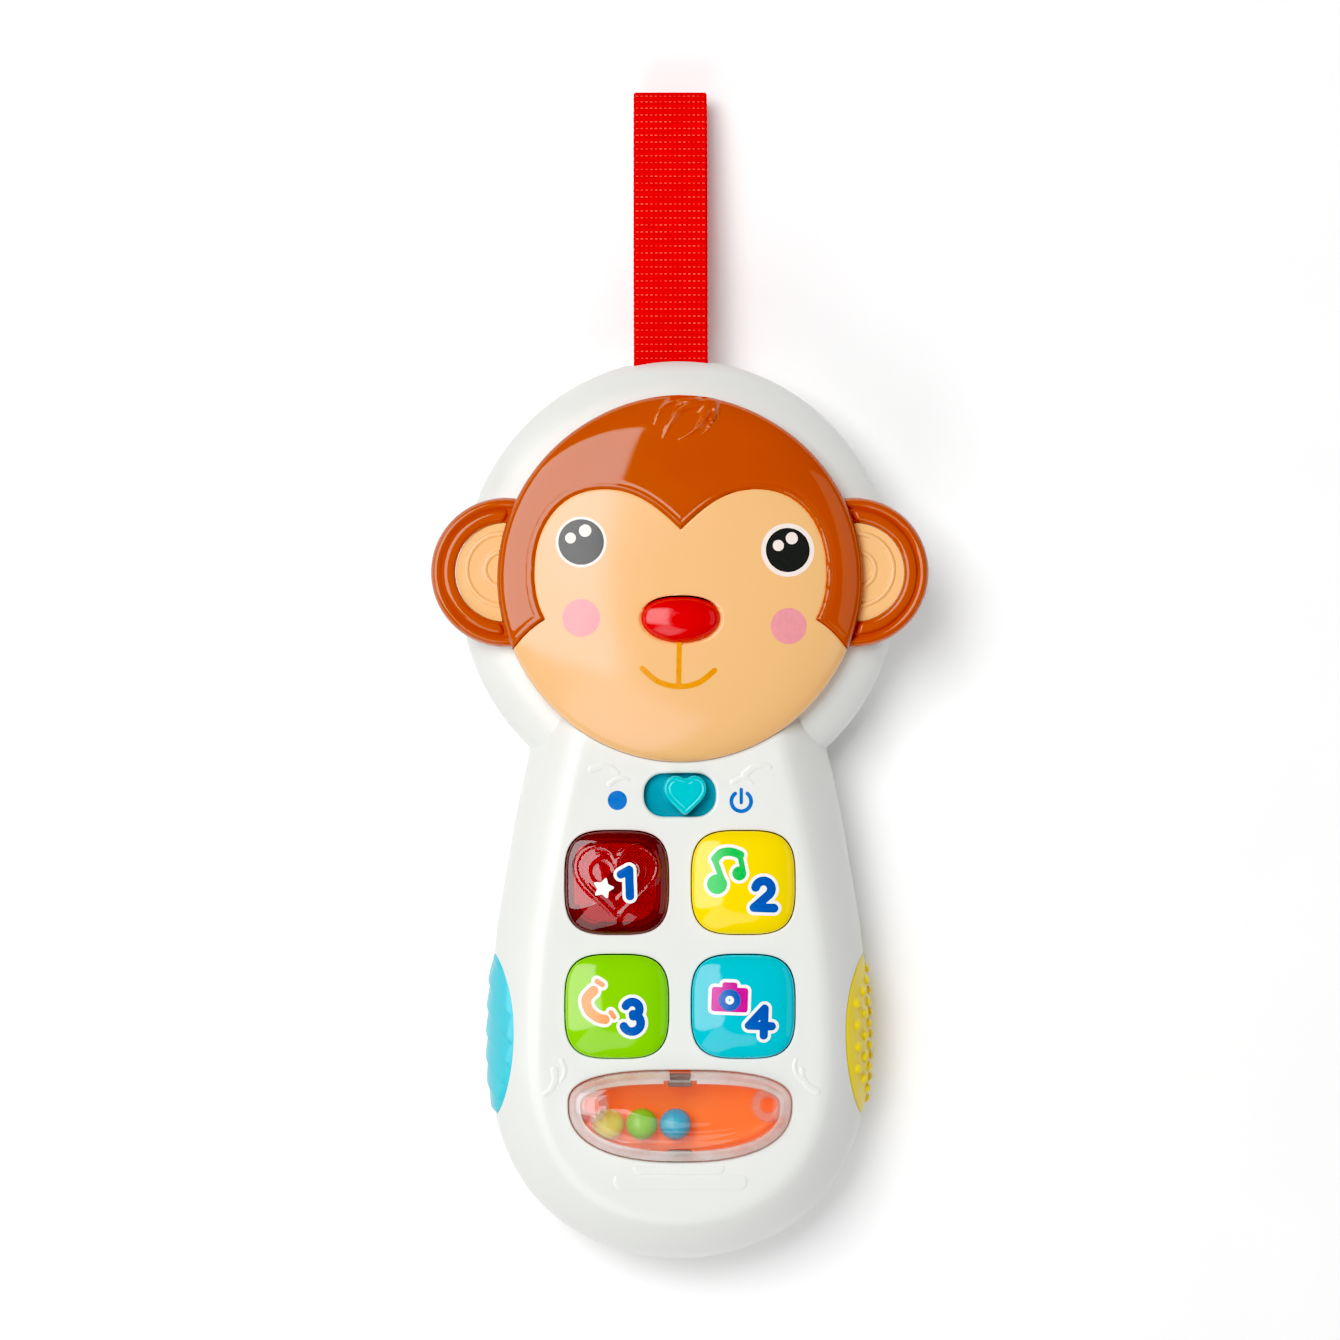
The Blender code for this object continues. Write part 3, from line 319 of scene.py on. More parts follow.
def make_materials():
    return {
        "white": plastic("white_abs", (227, 229, 224), 0.36, grain=0.012, fade=0.012),
        "peach": plastic("peach_abs", (246, 178, 120), 0.16, fade=0.02),
        "brown": plastic("brown_abs", (188, 78, 2), 0.07, fade=0.1),
        "nose": plastic("nose_red", (222, 2, 8), 0.2, fade=0.06, coat=0.1),
        "yellow": plastic("yellow_abs", (255, 216, 0), 0.1, fade=0.02),
        "green": plastic("green_abs", (128, 208, 0), 0.1, fade=0.03),
        "cyan": plastic("cyan_abs", (0, 185, 206), 0.1, fade=0.03),
        "teal": plastic("teal_slider", (0, 187, 199), 0.16, fade=0.04),
        # The slider plate's darker teal is painted shade for the floor of the slot.
        "teal_painted_shade": plastic("teal_slider_plate_painted_shade", (0, 136, 156), 0.3, fade=0.06),
        "orange": plastic("orange_tray", (255, 112, 26), 0.45, fade=0.06, grain=0.1),
        "bead_yellow": plastic("bead_yellow", (242, 216, 20), 0.22, fade=0.05),
        "bead_green": plastic("bead_green", (136, 214, 34), 0.22, fade=0.05),
        "bead_sky": plastic("bead_sky", (58, 182, 222), 0.22, fade=0.05),
        "grip_cyan": plastic("grip_cyan", (40, 190, 212), 0.38, fade=0.06, grain=0.1),
        "grip_yellow": plastic("grip_yellow", (244, 208, 40), 0.38, fade=0.06, grain=0.1),
        "black": plastic("black_abs", (38, 38, 38), 0.45, fade=0.2),
        "rubber": plastic("grey_silicone", (150, 150, 148), 0.65, fade=0.1, grain=0.2),
        "board": plastic("green_board", (24, 98, 52), 0.35, fade=0.3, grain=0.15),
        "jacket": plastic("cell_jacket", (60, 120, 70), 0.3, fade=0.2),
        "wire": plastic("wire_jacket", (190, 30, 26), 0.4, fade=0.1),
        "steel": metal("plated_steel", (190, 190, 186), 0.3),
        "foil": foil_grid("foil_grid"),
        "window": clear_plastic("clear_styrene", (0.985, 0.98, 0.98), 0.05, 0.006, (0.95, 0.92, 0.9)),
        "rim": clear_plastic("clear_styrene_edge", (0.97, 0.95, 0.94), 0.06, 0.4, (0.9, 0.84, 0.8)),
        "boss": clear_plastic("frosted_styrene", (0.96, 0.95, 0.95), 0.1, 0.12, (0.9, 0.86, 0.84)),
        # The catches' dark smoky tint is painted shade for the notches under the snaps.
        "catch": clear_plastic("catch_painted_shade", (0.42, 0.36, 0.33), 0.08, 0.35, (0.42, 0.34, 0.3)),
        "ruby": clear_plastic("clear_ruby", (0.93, 0.025, 0.035), 0.03, 0.12, (0.55, 0.0, 0.01)),
        "webbing": webbing("red_webbing"),
        "ink_white": ink("ink_white", (244, 242, 238)),
        "ink_blue": ink("ink_blue", (0, 82, 164)),
        "ink_sign": ink("ink_sign_blue", (0, 98, 184)),
        "ink_green": ink("ink_green", (20, 178, 70)),
        "ink_orange": ink("ink_orange", (240, 140, 84)),
        "ink_magenta": ink("ink_magenta", (190, 16, 132)),
        "ink_pink": ink("ink_pink", (233, 138, 144)),
        "ink_black": ink("ink_black", (42, 43, 42), 0.18),
        "ink_ivory": ink("ink_ivory", (246, 228, 218), 0.25),
        "ink_mouth": ink("ink_mouth", (226, 132, 0)),
    }


# Outlines and profiles, in millimetres


def between(p, q, r, s, t):
    """The value at a share t of the way from q to r, on a Catmull-Rom curve through the four."""
    square, cube = 2 * p - 5 * q + 4 * r - s, 3 * q - p - 3 * r + s
    return 0.5 * (2 * q + (r - p) * t + square * t**2 + cube * t**3)


def through(fours, per_span):
    """Points along a smooth curve, span by span, from the four points round each span."""
    return [
        tuple(between(*values, step / per_span) for values in zip(*four))
        for four in fours
        for step in range(per_span)
    ]


def spline_loop(points):
    """A closed smooth curve through the points."""
    turned_on = [points[-1:] + points[:-1], points, points[1:] + points[:1], points[2:] + points[:2]]
    return through(zip(*turned_on), 12)


def spline(points, per_span=6):
    """An open smooth curve through the points."""
    padded = [points[0], *points, points[-1]]
    return through(zip(padded, padded[1:], padded[2:], padded[3:]), per_span) + [points[-1]]


def evenly(loop, count):
    """The same closed curve, with count points at equal distances."""
    closed = loop + [loop[0]]
    spans = [math.dist(p, q) for p, q in zip(closed, closed[1:])]
    total, found, i, gone = sum(spans), [], 0, 0.0
    for k in range(count):
        target = total * k / count
        while gone + spans[i] < target:
            gone += spans[i]
            i += 1
        share = (target - gone) / spans[i]
        found.append(tuple(p + (q - p) * share for p, q in zip(closed[i], closed[i + 1])))
    return found


def moved_in(loop, distance):
    """The curve moved inwards by the distance, or outwards if it is negative."""
    found, count = [], len(loop)
    for i, (x, y) in enumerate(loop):
        (ax, ay), (bx, by) = loop[i - 1], loop[(i + 1) % count]
        length = math.hypot(bx - ax, by - ay)
        found.append((x - (by - ay) / length * distance, y + (bx - ax) / length * distance))
    return found


def superellipse(half_x, up, down=None, power_up=2.0, power_down=None, centre=(0, 0), count=120):
    down, power_down = down or up, power_down or power_up
    found = []
    for k in range(count):
        turn = 2 * math.pi * k / count
        c, s = math.cos(turn), math.sin(turn)
        height, power = (up, power_up) if s >= 0 else (down, power_down)
        x = half_x * math.copysign(abs(c) ** (2 / power), c)
        y = height * math.copysign(abs(s) ** (2 / power), s)
        found.append((centre[0] + x, centre[1] + y))
    return found


def circle(radius, centre=(0, 0), count=64):
    return superellipse(radius, radius, centre=centre, count=count)


def rectangle(x_range, y_range, corner=0.0):
    (x0, x1), (y0, y1) = x_range, y_range
    if not corner:
        return [(x1, y1), (x0, y1), (x0, y0), (x1, y0)]
    left, right, low, high = x0 + corner, x1 - corner, y0 + corner, y1 - corner
    found = []
    for k, (x, y) in enumerate([(right, high), (left, high), (left, low), (right, low)]):
        for step in range(CORNER_STEPS + 1):
            turn = math.pi / 2 * (k + step / CORNER_STEPS)
            found.append((x + corner * math.cos(turn), y + corner * math.sin(turn)))
    return found


def bezier(points):
    found = []
    for step in range(BEZIER_STEPS):
        t = step / BEZIER_STEPS
        weights = ((1 - t) ** 3, 3 * t * (1 - t) ** 2, 3 * t**2 * (1 - t), t**3)
        found.append(tuple(sum(w * c for w, c in zip(weights, axis)) for axis in zip(*points)))
    return found


def grip_outline(count=OUTLINE_POINTS):
    half = GRIP_HALF_OUTLINE
    return evenly(spline_loop(half + [(-x, y) for x, y in reversed(half[1:-1])]), count)


def face_radius_at(turn):
    place = abs((turn + 270) % 360 - 180) / 30
    last = len(FACE_RADII) - 1
    below = min(int(last - place), last - 1)
    t = last - place - below
    p, q, r, s = (FACE_RADII[last - abs(last - abs(k))] for k in range(below - 1, below + 3))
    return between(p, q, r, s, t)


FACE_TURNS = np.arange(0, 361, 1.5)
FACE_TABLE = np.array([face_radius_at(turn) for turn in FACE_TURNS])


def face_radius(x, y):
    """Distance from the face's centre to its outline, in the direction of each point."""
    turn = np.degrees(np.arctan2(y - FACE_CENTRE_Y, x)) % 360
    return np.interp(turn, FACE_TURNS, FACE_TABLE)


def face_share(x, y):
    return np.hypot(x, y - FACE_CENTRE_Y) / face_radius(x, y)


def face_z(x, y):
    """Height of the face's dome, with its rim at share 1."""
    share = np.clip(face_share(x, y), 0, 1)
    return FACE_RIM_Z + FACE_DOME * (1 - share**2.2) ** 0.6


def face_outline(grow):
    found = []
    for k in range(OUTLINE_POINTS):
        turn = 360 * k / OUTLINE_POINTS
        reach, angle = face_radius_at(turn) + grow, math.radians(turn)
        found.append((reach * math.cos(angle), FACE_CENTRE_Y + reach * math.sin(angle)))
    return found


def face_area():
    """The outline of the part of the face that the hair leaves open; it runs well past the chin."""
    right = [p for part in FACE_BEZIER for p in bezier(part)] + [(38.0, 1.0), (40.0, -24.0)]
    return list(reversed(right)) + [(-x, y) for x, y in right[1:]]


def button_outline(grow=0.0, centre=(0, 0), count=112):
    half = BUTTON_HALF + grow
    return superellipse(half, half, power_up=BUTTON_POWER, centre=centre, count=count)


def nose_outline(grow=0.0):
    half_x, up = NOSE_HALF
    return superellipse(half_x + grow, up + grow, up + 0.4 + grow, 2.3, 2.0, (0, NOSE_Y), 96)


def window_outline(grow):
    reach = (WINDOW_HALF_X + grow, WINDOW_UP + grow, WINDOW_DOWN + grow)
    return superellipse(*reach, WINDOW_POWER_UP, WINDOW_POWER_DOWN, (0, WINDOW_Y), 144)


def slot_outline(grow):
    half_x, half_y = SLOT_HALF
    y_range = (SLOT_Y - half_y - grow, SLOT_Y + half_y + grow)
    return rectangle((-half_x - grow, half_x + grow), y_range, 3.9 + grow)


def button_places():
    return [(side * BUTTON_X, row) for row in BUTTON_ROWS for side in (-1, 1)]


def heart(width, height, centre=(0, 0), count=96, plump=0.0):
    """A heart's outline; plump rounds it towards an ellipse."""
    raw = []
    for k in range(count):
        t = 2 * math.pi * k / count
        y = 13 * math.cos(t) - 5 * math.cos(2 * t) - 2 * math.cos(3 * t) - math.cos(4 * t)
        y = y * (1 - plump) + (14.5 * math.cos(t) - 1.5) * plump
        raw.append((16 * math.sin(t) ** 3 * (1 - plump) + 16 * math.sin(t) * plump, y))
    low, high, half = min(y for _, y in raw), max(y for _, y in raw), max(x for x, _ in raw)
    return [
        (centre[0] - x * width / half / 2, centre[1] + (y - (low + high) / 2) * height / (high - low))
        for x, y in raw
    ]


# Fields: functions of x and y that are negative inside a flat shape, and elsewhere its distance


def dot(x, y, radius):
    return lambda X, Y: np.hypot(X - x, Y - y) - radius


def stroke(points, radius, end_radius=None):
    """A line with round ends, which may taper from one radius to another."""
    end_radius = radius if end_radius is None else end_radius
    spans = list(zip(points, points[1:]))
    lengths = [math.dist(a, b) for a, b in spans]
    total = sum(lengths)

    def field(X, Y):
        best, gone = np.full(np.shape(X), 1e9), 0.0
        for ((ax, ay), (bx, by)), length in zip(spans, lengths):
            dx, dy = bx - ax, by - ay
            t = np.clip(((X - ax) * dx + (Y - ay) * dy) / (length * length), 0, 1)
            share = (gone + t * length) / total
            width = radius + (end_radius - radius) * share
            best = np.minimum(best, np.hypot(X - ax - t * dx, Y - ay - t * dy) - width)
            gone += length
        return best

    return field


def arc_points(x, y, radius, start, stop, steps=16):
    turns = [math.radians(start + (stop - start) * k / steps) for k in range(steps + 1)]
    return [(x + radius * math.cos(turn), y + radius * math.sin(turn)) for turn in turns]


def inside_of(points):
    """The field of a closed outline."""

    def field(X, Y):
        best, within = np.full(np.shape(X), 1e9), np.zeros(np.shape(X), bool)
        for (ax, ay), (bx, by) in zip(points, points[1:] + points[:1]):
            dx, dy = bx - ax, by - ay
            squared = dx * dx + dy * dy
            if squared < 1e-12:
                continue
            t = np.clip(((X - ax) * dx + (Y - ay) * dy) / squared, 0, 1)
            best = np.minimum(best, np.hypot(X - ax - t * dx, Y - ay - t * dy))
            if ay != by:
                crosses = (ay > Y) != (by > Y)
                within ^= crosses & (X < (bx - ax) * (Y - ay) / (by - ay) + ax)
        return np.where(within, -best, best)

    return field


def either(*fields):
    return lambda X, Y: np.minimum.reduce([f(X, Y) for f in fields])


def both(*fields):
    return lambda X, Y: np.maximum.reduce([f(X, Y) for f in fields])


def outside(field):
    return lambda X, Y: -field(X, Y)


def grown(field, distance):
    return lambda X, Y: field(X, Y) - distance


def placed(field, at, turn=0.0, scale=1.0):
    """The shape, scaled, turned by degrees and moved."""
    c, s = math.cos(math.radians(turn)), math.sin(math.radians(turn))

    def moved(X, Y):
        U, V = (X - at[0]) / scale, (Y - at[1]) / scale
        return field(U * c + V * s, V * c - U * s) * scale

    return moved


def rounded(distance, width):
    """0 at an edge, rising to 1 as a quarter circle over the width; distance is negative inside."""
    share = np.clip(-distance / width, 0, 1)
    return np.sqrt(1 - (1 - share) ** 2)


# Meshes


def add_mesh(name, verts, faces, finish, merge=0.0, sharp=SMOOTH_ANGLE):
    """An object from points in millimetres, with smooth faces and sharp edges where they meet steeply."""
    shape = bmesh.new()
    points = [shape.verts.new([c * MM for c in p]) for p in verts]
    for face in faces:
        if len(set(face)) > 2:
            try:
                shape.faces.new([points[i] for i in face])
            except ValueError:
                continue
    if merge:
        bmesh.ops.remove_doubles(shape, verts=shape.verts, dist=merge * MM)
        bmesh.ops.dissolve_degenerate(shape, edges=shape.edges, dist=merge * MM)
    bmesh.ops.recalc_face_normals(shape, faces=shape.faces)
    mesh = bpy.data.meshes.new(name)
    shape.to_mesh(mesh)
    shape.free()
    mesh.shade_smooth()
    mesh.set_sharp_from_angle(angle=sharp)
    if finish:
        mesh.materials.append(finish)
    made = bpy.data.objects.new(name, mesh)
    bpy.context.collection.objects.link(made)
    return made


def skin_data(rings, closed=False):
    """Points and faces through rings of (x, y, z) with the same number of points; its ends are capped."""
    count = len(rings[0])
    verts = [p for ring in rings for p in ring]
    faces = []
    for row in range(len(rings) if closed else len(rings) - 1):
        low, high = row * count, (row + 1) % len(rings) * count
        faces += [(low + i, low + (i + 1) % count, high + (i + 1) % count, high + i) for i in range(count)]
    if not closed:
        faces.append(tuple(reversed(range(count))))
        faces.append(tuple(range(len(verts) - count, len(verts))))
    return verts, faces


def level(loop, z):
    return [(x, y, z) for x, y in loop]


def loft(name, levels, finish=None):
    return add_mesh(name, *skin_data([level(loop, z) for loop, z in levels]), finish)


def prism(name, loop, z_range):
    return loft(name, [(loop, z) for z in z_range])


def lofts(name, parts):
    """One object from several separate lofts."""
    verts, faces = [], []
    for levels in parts:
        more, sides = skin_data([level(loop, z) for loop, z in levels])
        faces += [tuple(i + len(verts) for i in face) for face in sides]
        verts += more
    return add_mesh(name, verts, faces, None)


def turned(name, profile, finish=None, sides=48, closed=False, at=(0, 0, 0)):
    """A solid of revolution about Z from a profile of (radius, z)."""
    middle = profile if closed else profile[1:-1]
    rings = [level(circle(r, at[:2], sides), z + at[2]) for r, z in middle]
    return add_mesh(name, *skin_data(rings, closed), finish)


def combine(target, operation, *tools):
    """Joins, cuts or intersects at once, and removes the tools."""
    for tool in tools:
        change = target.modifiers.new(tool.name, "BOOLEAN")
        change.operation, change.object, change.solver = operation, tool, "EXACT"
    bpy.context.view_layer.update()
    graph = bpy.context.evaluated_depsgraph_get()
    result = bpy.data.meshes.new_from_object(target.evaluated_get(graph))
    target.modifiers.clear()
    old, target.data = target.data, result
    bpy.data.meshes.remove(old)
    for tool in tools:
        spent = tool.data
        bpy.data.objects.remove(tool)
        bpy.data.meshes.remove(spent)
    return target


def cut(target, *tools):
    return combine(target, "DIFFERENCE", *tools)


def join(target, *tools):
    return combine(target, "UNION", *tools)


def keep_inside(target, *tools):
    return combine(target, "INTERSECT", *tools)


def finish_edges(piece, finish, sharp=SMOOTH_ANGLE):
    """Clean shading after booleans: smooth faces, sharp corners, and flat faces that stay flat."""
    mesh = piece.data
    mesh.materials.clear()
    mesh.materials.append(finish)
    mesh.shade_smooth()
    mesh.set_sharp_from_angle(angle=sharp)
    weighted = piece.modifiers.new("flat_stays_flat", "WEIGHTED_NORMAL")
    weighted.keep_sharp = True
    weighted.weight = 100
    return piece


def clipped(points, values, wrap=False):
    """The faces of a grid of points where values are at most 0, cut along the line where they reach it.

    points has the shape (rows, columns, 3); wrap joins the last column to the first.
    """
    rows, columns = values.shape
    verts, faces, index = [], [], {}
    inside = values <= 0

    def corner(place):
        if place not in index:
            index[place] = len(verts)
            verts.append(tuple(points[place]))
        return index[place]

    def crossing(a, b):
        p, q = min(a, b), max(a, b)
        if (p, q) not in index:
            share = values[p] / (values[p] - values[q])
            index[p, q] = len(verts)
            verts.append(tuple(points[p] + (points[q] - points[p]) * share))
        return index[p, q]

    for i in range(rows - 1):
        for j in range(columns if wrap else columns - 1):
            k = (j + 1) % columns
            ring = [(i, j), (i, k), (i + 1, k), (i + 1, j)]
            kept = [inside[place] for place in ring]
            if all(kept):
                faces.append([corner(place) for place in ring])
            elif any(kept):
                face = []
                for a, b, in_a, in_b in zip(ring, ring[1:] + ring[:1], kept, kept[1:] + kept[:1]):
                    if in_a:
                        face.append(corner(a))
                    if in_a != in_b:
                        face.append(crossing(a, b))
                if len(face) > 2:
                    faces.append(face)
    return verts, faces


def thick(verts, faces, under):
    """Closes a sheet with a second side: under gives the lower point of each upper one."""
    count = len(verts)
    edges = {(a, b) for face in faces for a, b in zip(face, face[1:] + face[:1])}
    rim = [(a, b) for a, b in edges if (b, a) not in edges]
    lower = [[i + count for i in reversed(face)] for face in faces]
    sides = [[b, a, a + count, b + count] for a, b in rim]
    return verts + [under(*p) for p in verts], faces + lower + sides


def shell(name, points, under, finish, values=None, sharp=SMOOTH_ANGLE):
    """A closed wall below a grid of rings, or below the part of it where values are at most 0."""
    if values is None:
        values = np.full(points.shape[:2], -1.0)
    sheet = clipped(points, values, wrap=True)
    return add_mesh(name, *thick(*sheet, under), finish, MERGE, sharp)


def patch(name, field, box, step, height, finish, under):
    """A closed plate over the region where the field is negative, with its top at height(x, y)."""
    lines = [np.linspace(low, high, max(2, round((high - low) / step) + 1)) for low, high in box]
    X, Y = np.meshgrid(*lines)
    sheet = clipped(np.dstack([X, Y, height(X, Y)]), field(X, Y))
    return add_mesh(name, *thick(*sheet, under), finish, MERGE)


def down_to(floor):
    return lambda x, y, z: (x, y, floor)


def box_round(centre, reach):
    return tuple((c - reach, c + reach) for c in centre)


def printed(name, field, box, surface, finish, lift, body, step=0.14):
    """Ink on a surface: a closed film that follows it."""

    def height(X, Y):
        return surface(X, Y) + lift

    film = patch(name, field, box, step, height, finish, lambda x, y, z: (x, y, z - INK_FILM))
    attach(film, body)


# Shells of the body


def grip_levels(profile, grow=0.0):
    outline = grip_outline()
    return [(moved_in(outline, inset - grow), z) for z, inset in profile]


def disc_levels(profile):
    levels = []
    for z, inset in profile:
        half, up = DISC_RADIUS - inset, DISC_REACH_UP - inset
        levels.append((superellipse(half, up, half, centre=(0, DISC_CENTRE_Y), count=OUTLINE_POINTS), z))
    return levels


def rounded_hole(outline, floor, top, radius, steps=5, over=4.0):
    """Levels of a cutter whose hole ends in a rounded edge at the top; outline(grow) gives its shape."""
    levels = [(outline(0.0), floor), (outline(0.0), top - radius)]
    for k in range(1, steps + 1):
        turn = math.pi / 2 * k / steps
        levels.append((outline(radius * (1 - math.cos(turn))), top - radius + radius * math.sin(turn)))
    return levels + [(outline(radius), top + over)]


def rounded_sink(outline, ceiling, bottom, radius):
    """The same for a hole in an underside, from the lowest level up."""
    levels = rounded_hole(outline, -ceiling, -bottom, radius, steps=4, over=3.0)
    return [(loop, -z) for loop, z in reversed(levels)]


def pad_form(name, grow):
    profile = spline(REAR_PROFILE[2:]) + spline(GRIP_FRONT_PROFILE[:-2])[1:]
    return loft(name, grip_levels(profile, grow))


def pad_recess(name, side):
    half_y, half_z = GRIP_PAD_HALF
    loop = superellipse(half_z + GAP, half_y + GAP, power_up=2.2, count=96)
    rings = [[(x, GRIP_PAD_Y + y, GRIP_PAD_Z + z) for z, y in loop] for x in (side * 25.0, side * 45.0)]
    bar = add_mesh(name, *skin_data(rings), None)
    return cut(bar, pad_form(name + "_core", -GRIP_PAD_DEPTH - GAP))


def strap_slot(name):
    half = STRAP_WIDTH / 2 + 0.7
    loop = rectangle((STRAP_X - half, STRAP_X + half), (9.0, 18.4), 1.0)
    rings = [[(x, y, z) for x, z in loop] for y in (56.0, 66.0)]
    return add_mesh(name, *skin_data(rings), None)


def finish_housing(housing, finish, node):
    """Cuts the recesses of the two grips, and settles one half of the body."""
    for side in (-1, 1):
        cut(housing, pad_recess("recess", side))
    finish_edges(housing, finish)
    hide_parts(node)
    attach(housing, "phone")


def make_front_housing(finish):
    edge = [(Z_PARTING + GAP / 2, 0.3), (Z_PARTING + GAP / 2 + 0.3, 0.02)]
    housing = loft("front_housing_shell", grip_levels(edge + spline(GRIP_FRONT_PROFILE)[2:]))
    join(housing, loft("disc", disc_levels(edge + spline(DISC_FRONT_PROFILE)[2:])))

    inner = [(13, 2.3), (18, 3.0), (22.5, 5.0), (26.0, 7.8), (28, 11.5)]
    grip_room = loft("grip_room", grip_levels(inner))
    cut(grip_room, prism("pocket_guard", face_outline(1.3), (POCKET_FLOOR_Z - 2, 40)))
    disc_room = loft("disc_room", disc_levels([(13, 2.3), (18, 2.9), (21.4, 5.6)]))
    pocket = prism("pocket", face_outline(0.1), (POCKET_FLOOR_Z, 40))
    cut(housing, grip_room, disc_room, pocket)

    holes = [
        rounded_hole(lambda grow, place=place: button_outline(grow, place), 24, Z_FRONT, 0.3)
        for place in button_places()
    ]
    holes.append(rounded_hole(slot_outline, 24, Z_FRONT, 0.6))
    holes.append(rounded_hole(lambda grow: window_outline(GAP + grow), 24, Z_FRONT, 0.4))
    cut(housing, lofts("holes", holes), strap_slot("strap_slot"))
    finish_housing(housing, finish, "front_housing")


def make_rear_housing(finish):
    top = Z_PARTING - GAP / 2
    profile = [(z, inset) for z, inset in spline(REAR_PROFILE) if z < top - 0.5]
    profile += [(top - 0.3, 0.02), (top, 0.3)]
    housing = loft("rear_housing_shell", grip_levels(profile))
    join(housing, loft("disc", disc_levels(profile)))
    inner = [(2.2, 7.0), (3.6, 4.8), (6.0, 3.3), (9.0, 2.7), (Z_PARTING + 1, WALL)]
    cut(housing, loft("grip_room", grip_levels(inner)), loft("disc_room", disc_levels(inner)))
    limit = loft("limit", grip_levels(profile[:-2]))
    join(limit, loft("limit_disc", disc_levels(profile[:-2])))
    posts = [[(circle(4.4, place), z) for z in (1.2, top - 0.5)] for place in HOUSING_SCREWS]
    posts.append([(rectangle((-27.0, 27.0), (-79.6, -46.4)), z) for z in (1.0, 13.4)])
    join(housing, keep_inside(lofts("posts", posts), limit))

    def seat(grow):
        half, (low, high) = COVER_HALF_X + GAP + grow, COVER_Y
        return rectangle((-half, half), (low - GAP - grow, high + GAP + grow), 2.0 + grow)

    def grille_slot(grow, y, reach):
        low, high = DISC_CENTRE_Y + y - 1 - grow, DISC_CENTRE_Y + y + 1 + grow
        return rectangle((-reach - grow, reach + grow), (low, high), 0.99 + grow)

    holes = [
        rounded_sink(lambda grow, place=place: circle(3.2 + grow, place), 7.5, 0.0, 0.4)
        for place in HOUSING_SCREWS
    ]
    holes.append(rounded_sink(seat, 2.0, 0.0, 0.25))
    holes += [
        rounded_sink(lambda grow, slot=slot: grille_slot(grow, *slot), 4.0, 0.0, 0.3)
        for slot in GRILLE_SLOTS
    ]
    inner_holes = [[(circle(1.9, place), z) for z in (7.0, 16)] for place in HOUSING_SCREWS]
    inner_holes.append([(rectangle((-24.8, 24.8), (-77.4, -54.8)), z) for z in (1.5, 12.6)])
    inner_holes.append([(circle(1.2, (0, COVER_SCREW_Y)), z) for z in (1.5, 11.0)])
    cut(housing, lofts("holes", holes))
    cut(housing, lofts("inner_holes", inner_holes), strap_slot("strap_slot"))
    finish_housing(housing, finish, "rear_housing")


LEAVES = [(15.2, -19.2, 12, 1.0), (12.4, -21.6, -8, 0.75), (25.6, -82.0, 118, 1.0), (23.4, -79.6, 98, 0.75)]


def make_relief(finish):
    """Low moulded shapes on the front: bars under the window, and leaf strokes near the corners."""
    bars = either(
        both(stroke([(-7.9, -99.0), (7.5, -99.0)], 1.55), lambda X, Y: Y + 98.8),
        both(stroke([(-11.6, -101.9), (11.8, -101.9)], 1.75), lambda X, Y: Y + 100.7),
    )
    leaf = stroke([(-2.4, -0.7), (-0.6, 0.4), (1.4, 0.5), (2.8, -0.2)], 0.8, 0.55)
    leaves = either(*[
        placed(leaf, (side * x, y), side * turn, size) for side in (-1, 1) for x, y, turn, size in LEAVES
    ])
    areas = {"bars": (bars, ((-14, 14), (-105, -97))), "leaves": (leaves, ((-31, 31), (-88, -14)))}
    for label, (field, box) in areas.items():
        relief = patch(
            f"front_relief_{label}", field, box, 0.2,
            lambda X, Y, field=field: Z_FRONT - 0.02 + 0.18 * rounded(field(X, Y), 0.45),
            finish, down_to(Z_FRONT - 0.3),
        )
        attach(relief, "phone")


# Head


FACE_SHARES = [
    1.0, 0.9995, 0.998, 0.9955, 0.992, 0.987, 0.981, *np.arange(0.974, 0.28, -0.0066),
    *np.arange(0.27, 0.02, -0.035), 0.0,
]
FACE_COLUMNS = 600
FACE_BASE_Z = POCKET_FLOOR_Z + GAP
WALL_ROWS = 3


def head_grid():
    """The whole head, from its wall's foot to the dome's middle, and which of its rows are dome."""
    turns = np.radians(np.arange(FACE_COLUMNS) * 360 / FACE_COLUMNS)
    reach = np.interp(np.degrees(turns), FACE_TURNS, FACE_TABLE)
    levels = [(1.0, z) for z in (FACE_BASE_Z, 27.0, FACE_RIM_Z - 0.6)]
    levels += [(share, FACE_RIM_Z + FACE_DOME * (1 - share**2.2) ** 0.6) for share in FACE_SHARES]
    rows = []
    for share, z in levels:
        x, y = share * reach * np.cos(turns), FACE_CENTRE_Y + share * reach * np.sin(turns)
        rows.append(np.stack([x, y, np.full(FACE_COLUMNS, z)], 1))
    return np.array(rows), np.arange(len(rows))[:, None] >= WALL_ROWS


def head_inner(x, y, z):
    """The point inside the head's wall that belongs to an outer one."""
    reach = math.hypot(x, y - FACE_CENTRE_Y)
    share = max(0.0, 1 - FACE_WALL / max(reach, 12.0)) if reach > 12 else 0.85
    return x * share, FACE_CENTRE_Y + (y - FACE_CENTRE_Y) * share, max(FACE_BASE_Z, z - 1.5)


def ear_wall(X, Y):
    """Negative outside the head, which hides the part of an ear that lies under it."""
    return face_radius(X, Y) - np.hypot(X, Y - FACE_CENTRE_Y)


TUFT = [
    ([(3.2, 54.6), (-1.4, 54.2), (-4.0, 52.4), (-4.9, 49.8)], 1.5, 0.25),
    ([(3.6, 54.0), (0.2, 52.6), (-2.0, 49.8), (-3.4, 46.6)], 1.9, 0.2),
    ([(5.6, 54.2), (4.6, 50.6), (2.6, 48.2), (-0.2, 46.4)], 2.1, 0.3),
    ([(6.6, 54.6), (6.8, 51.4), (5.6, 48.8), (4.2, 47.2)], 1.3, 0.2),
]


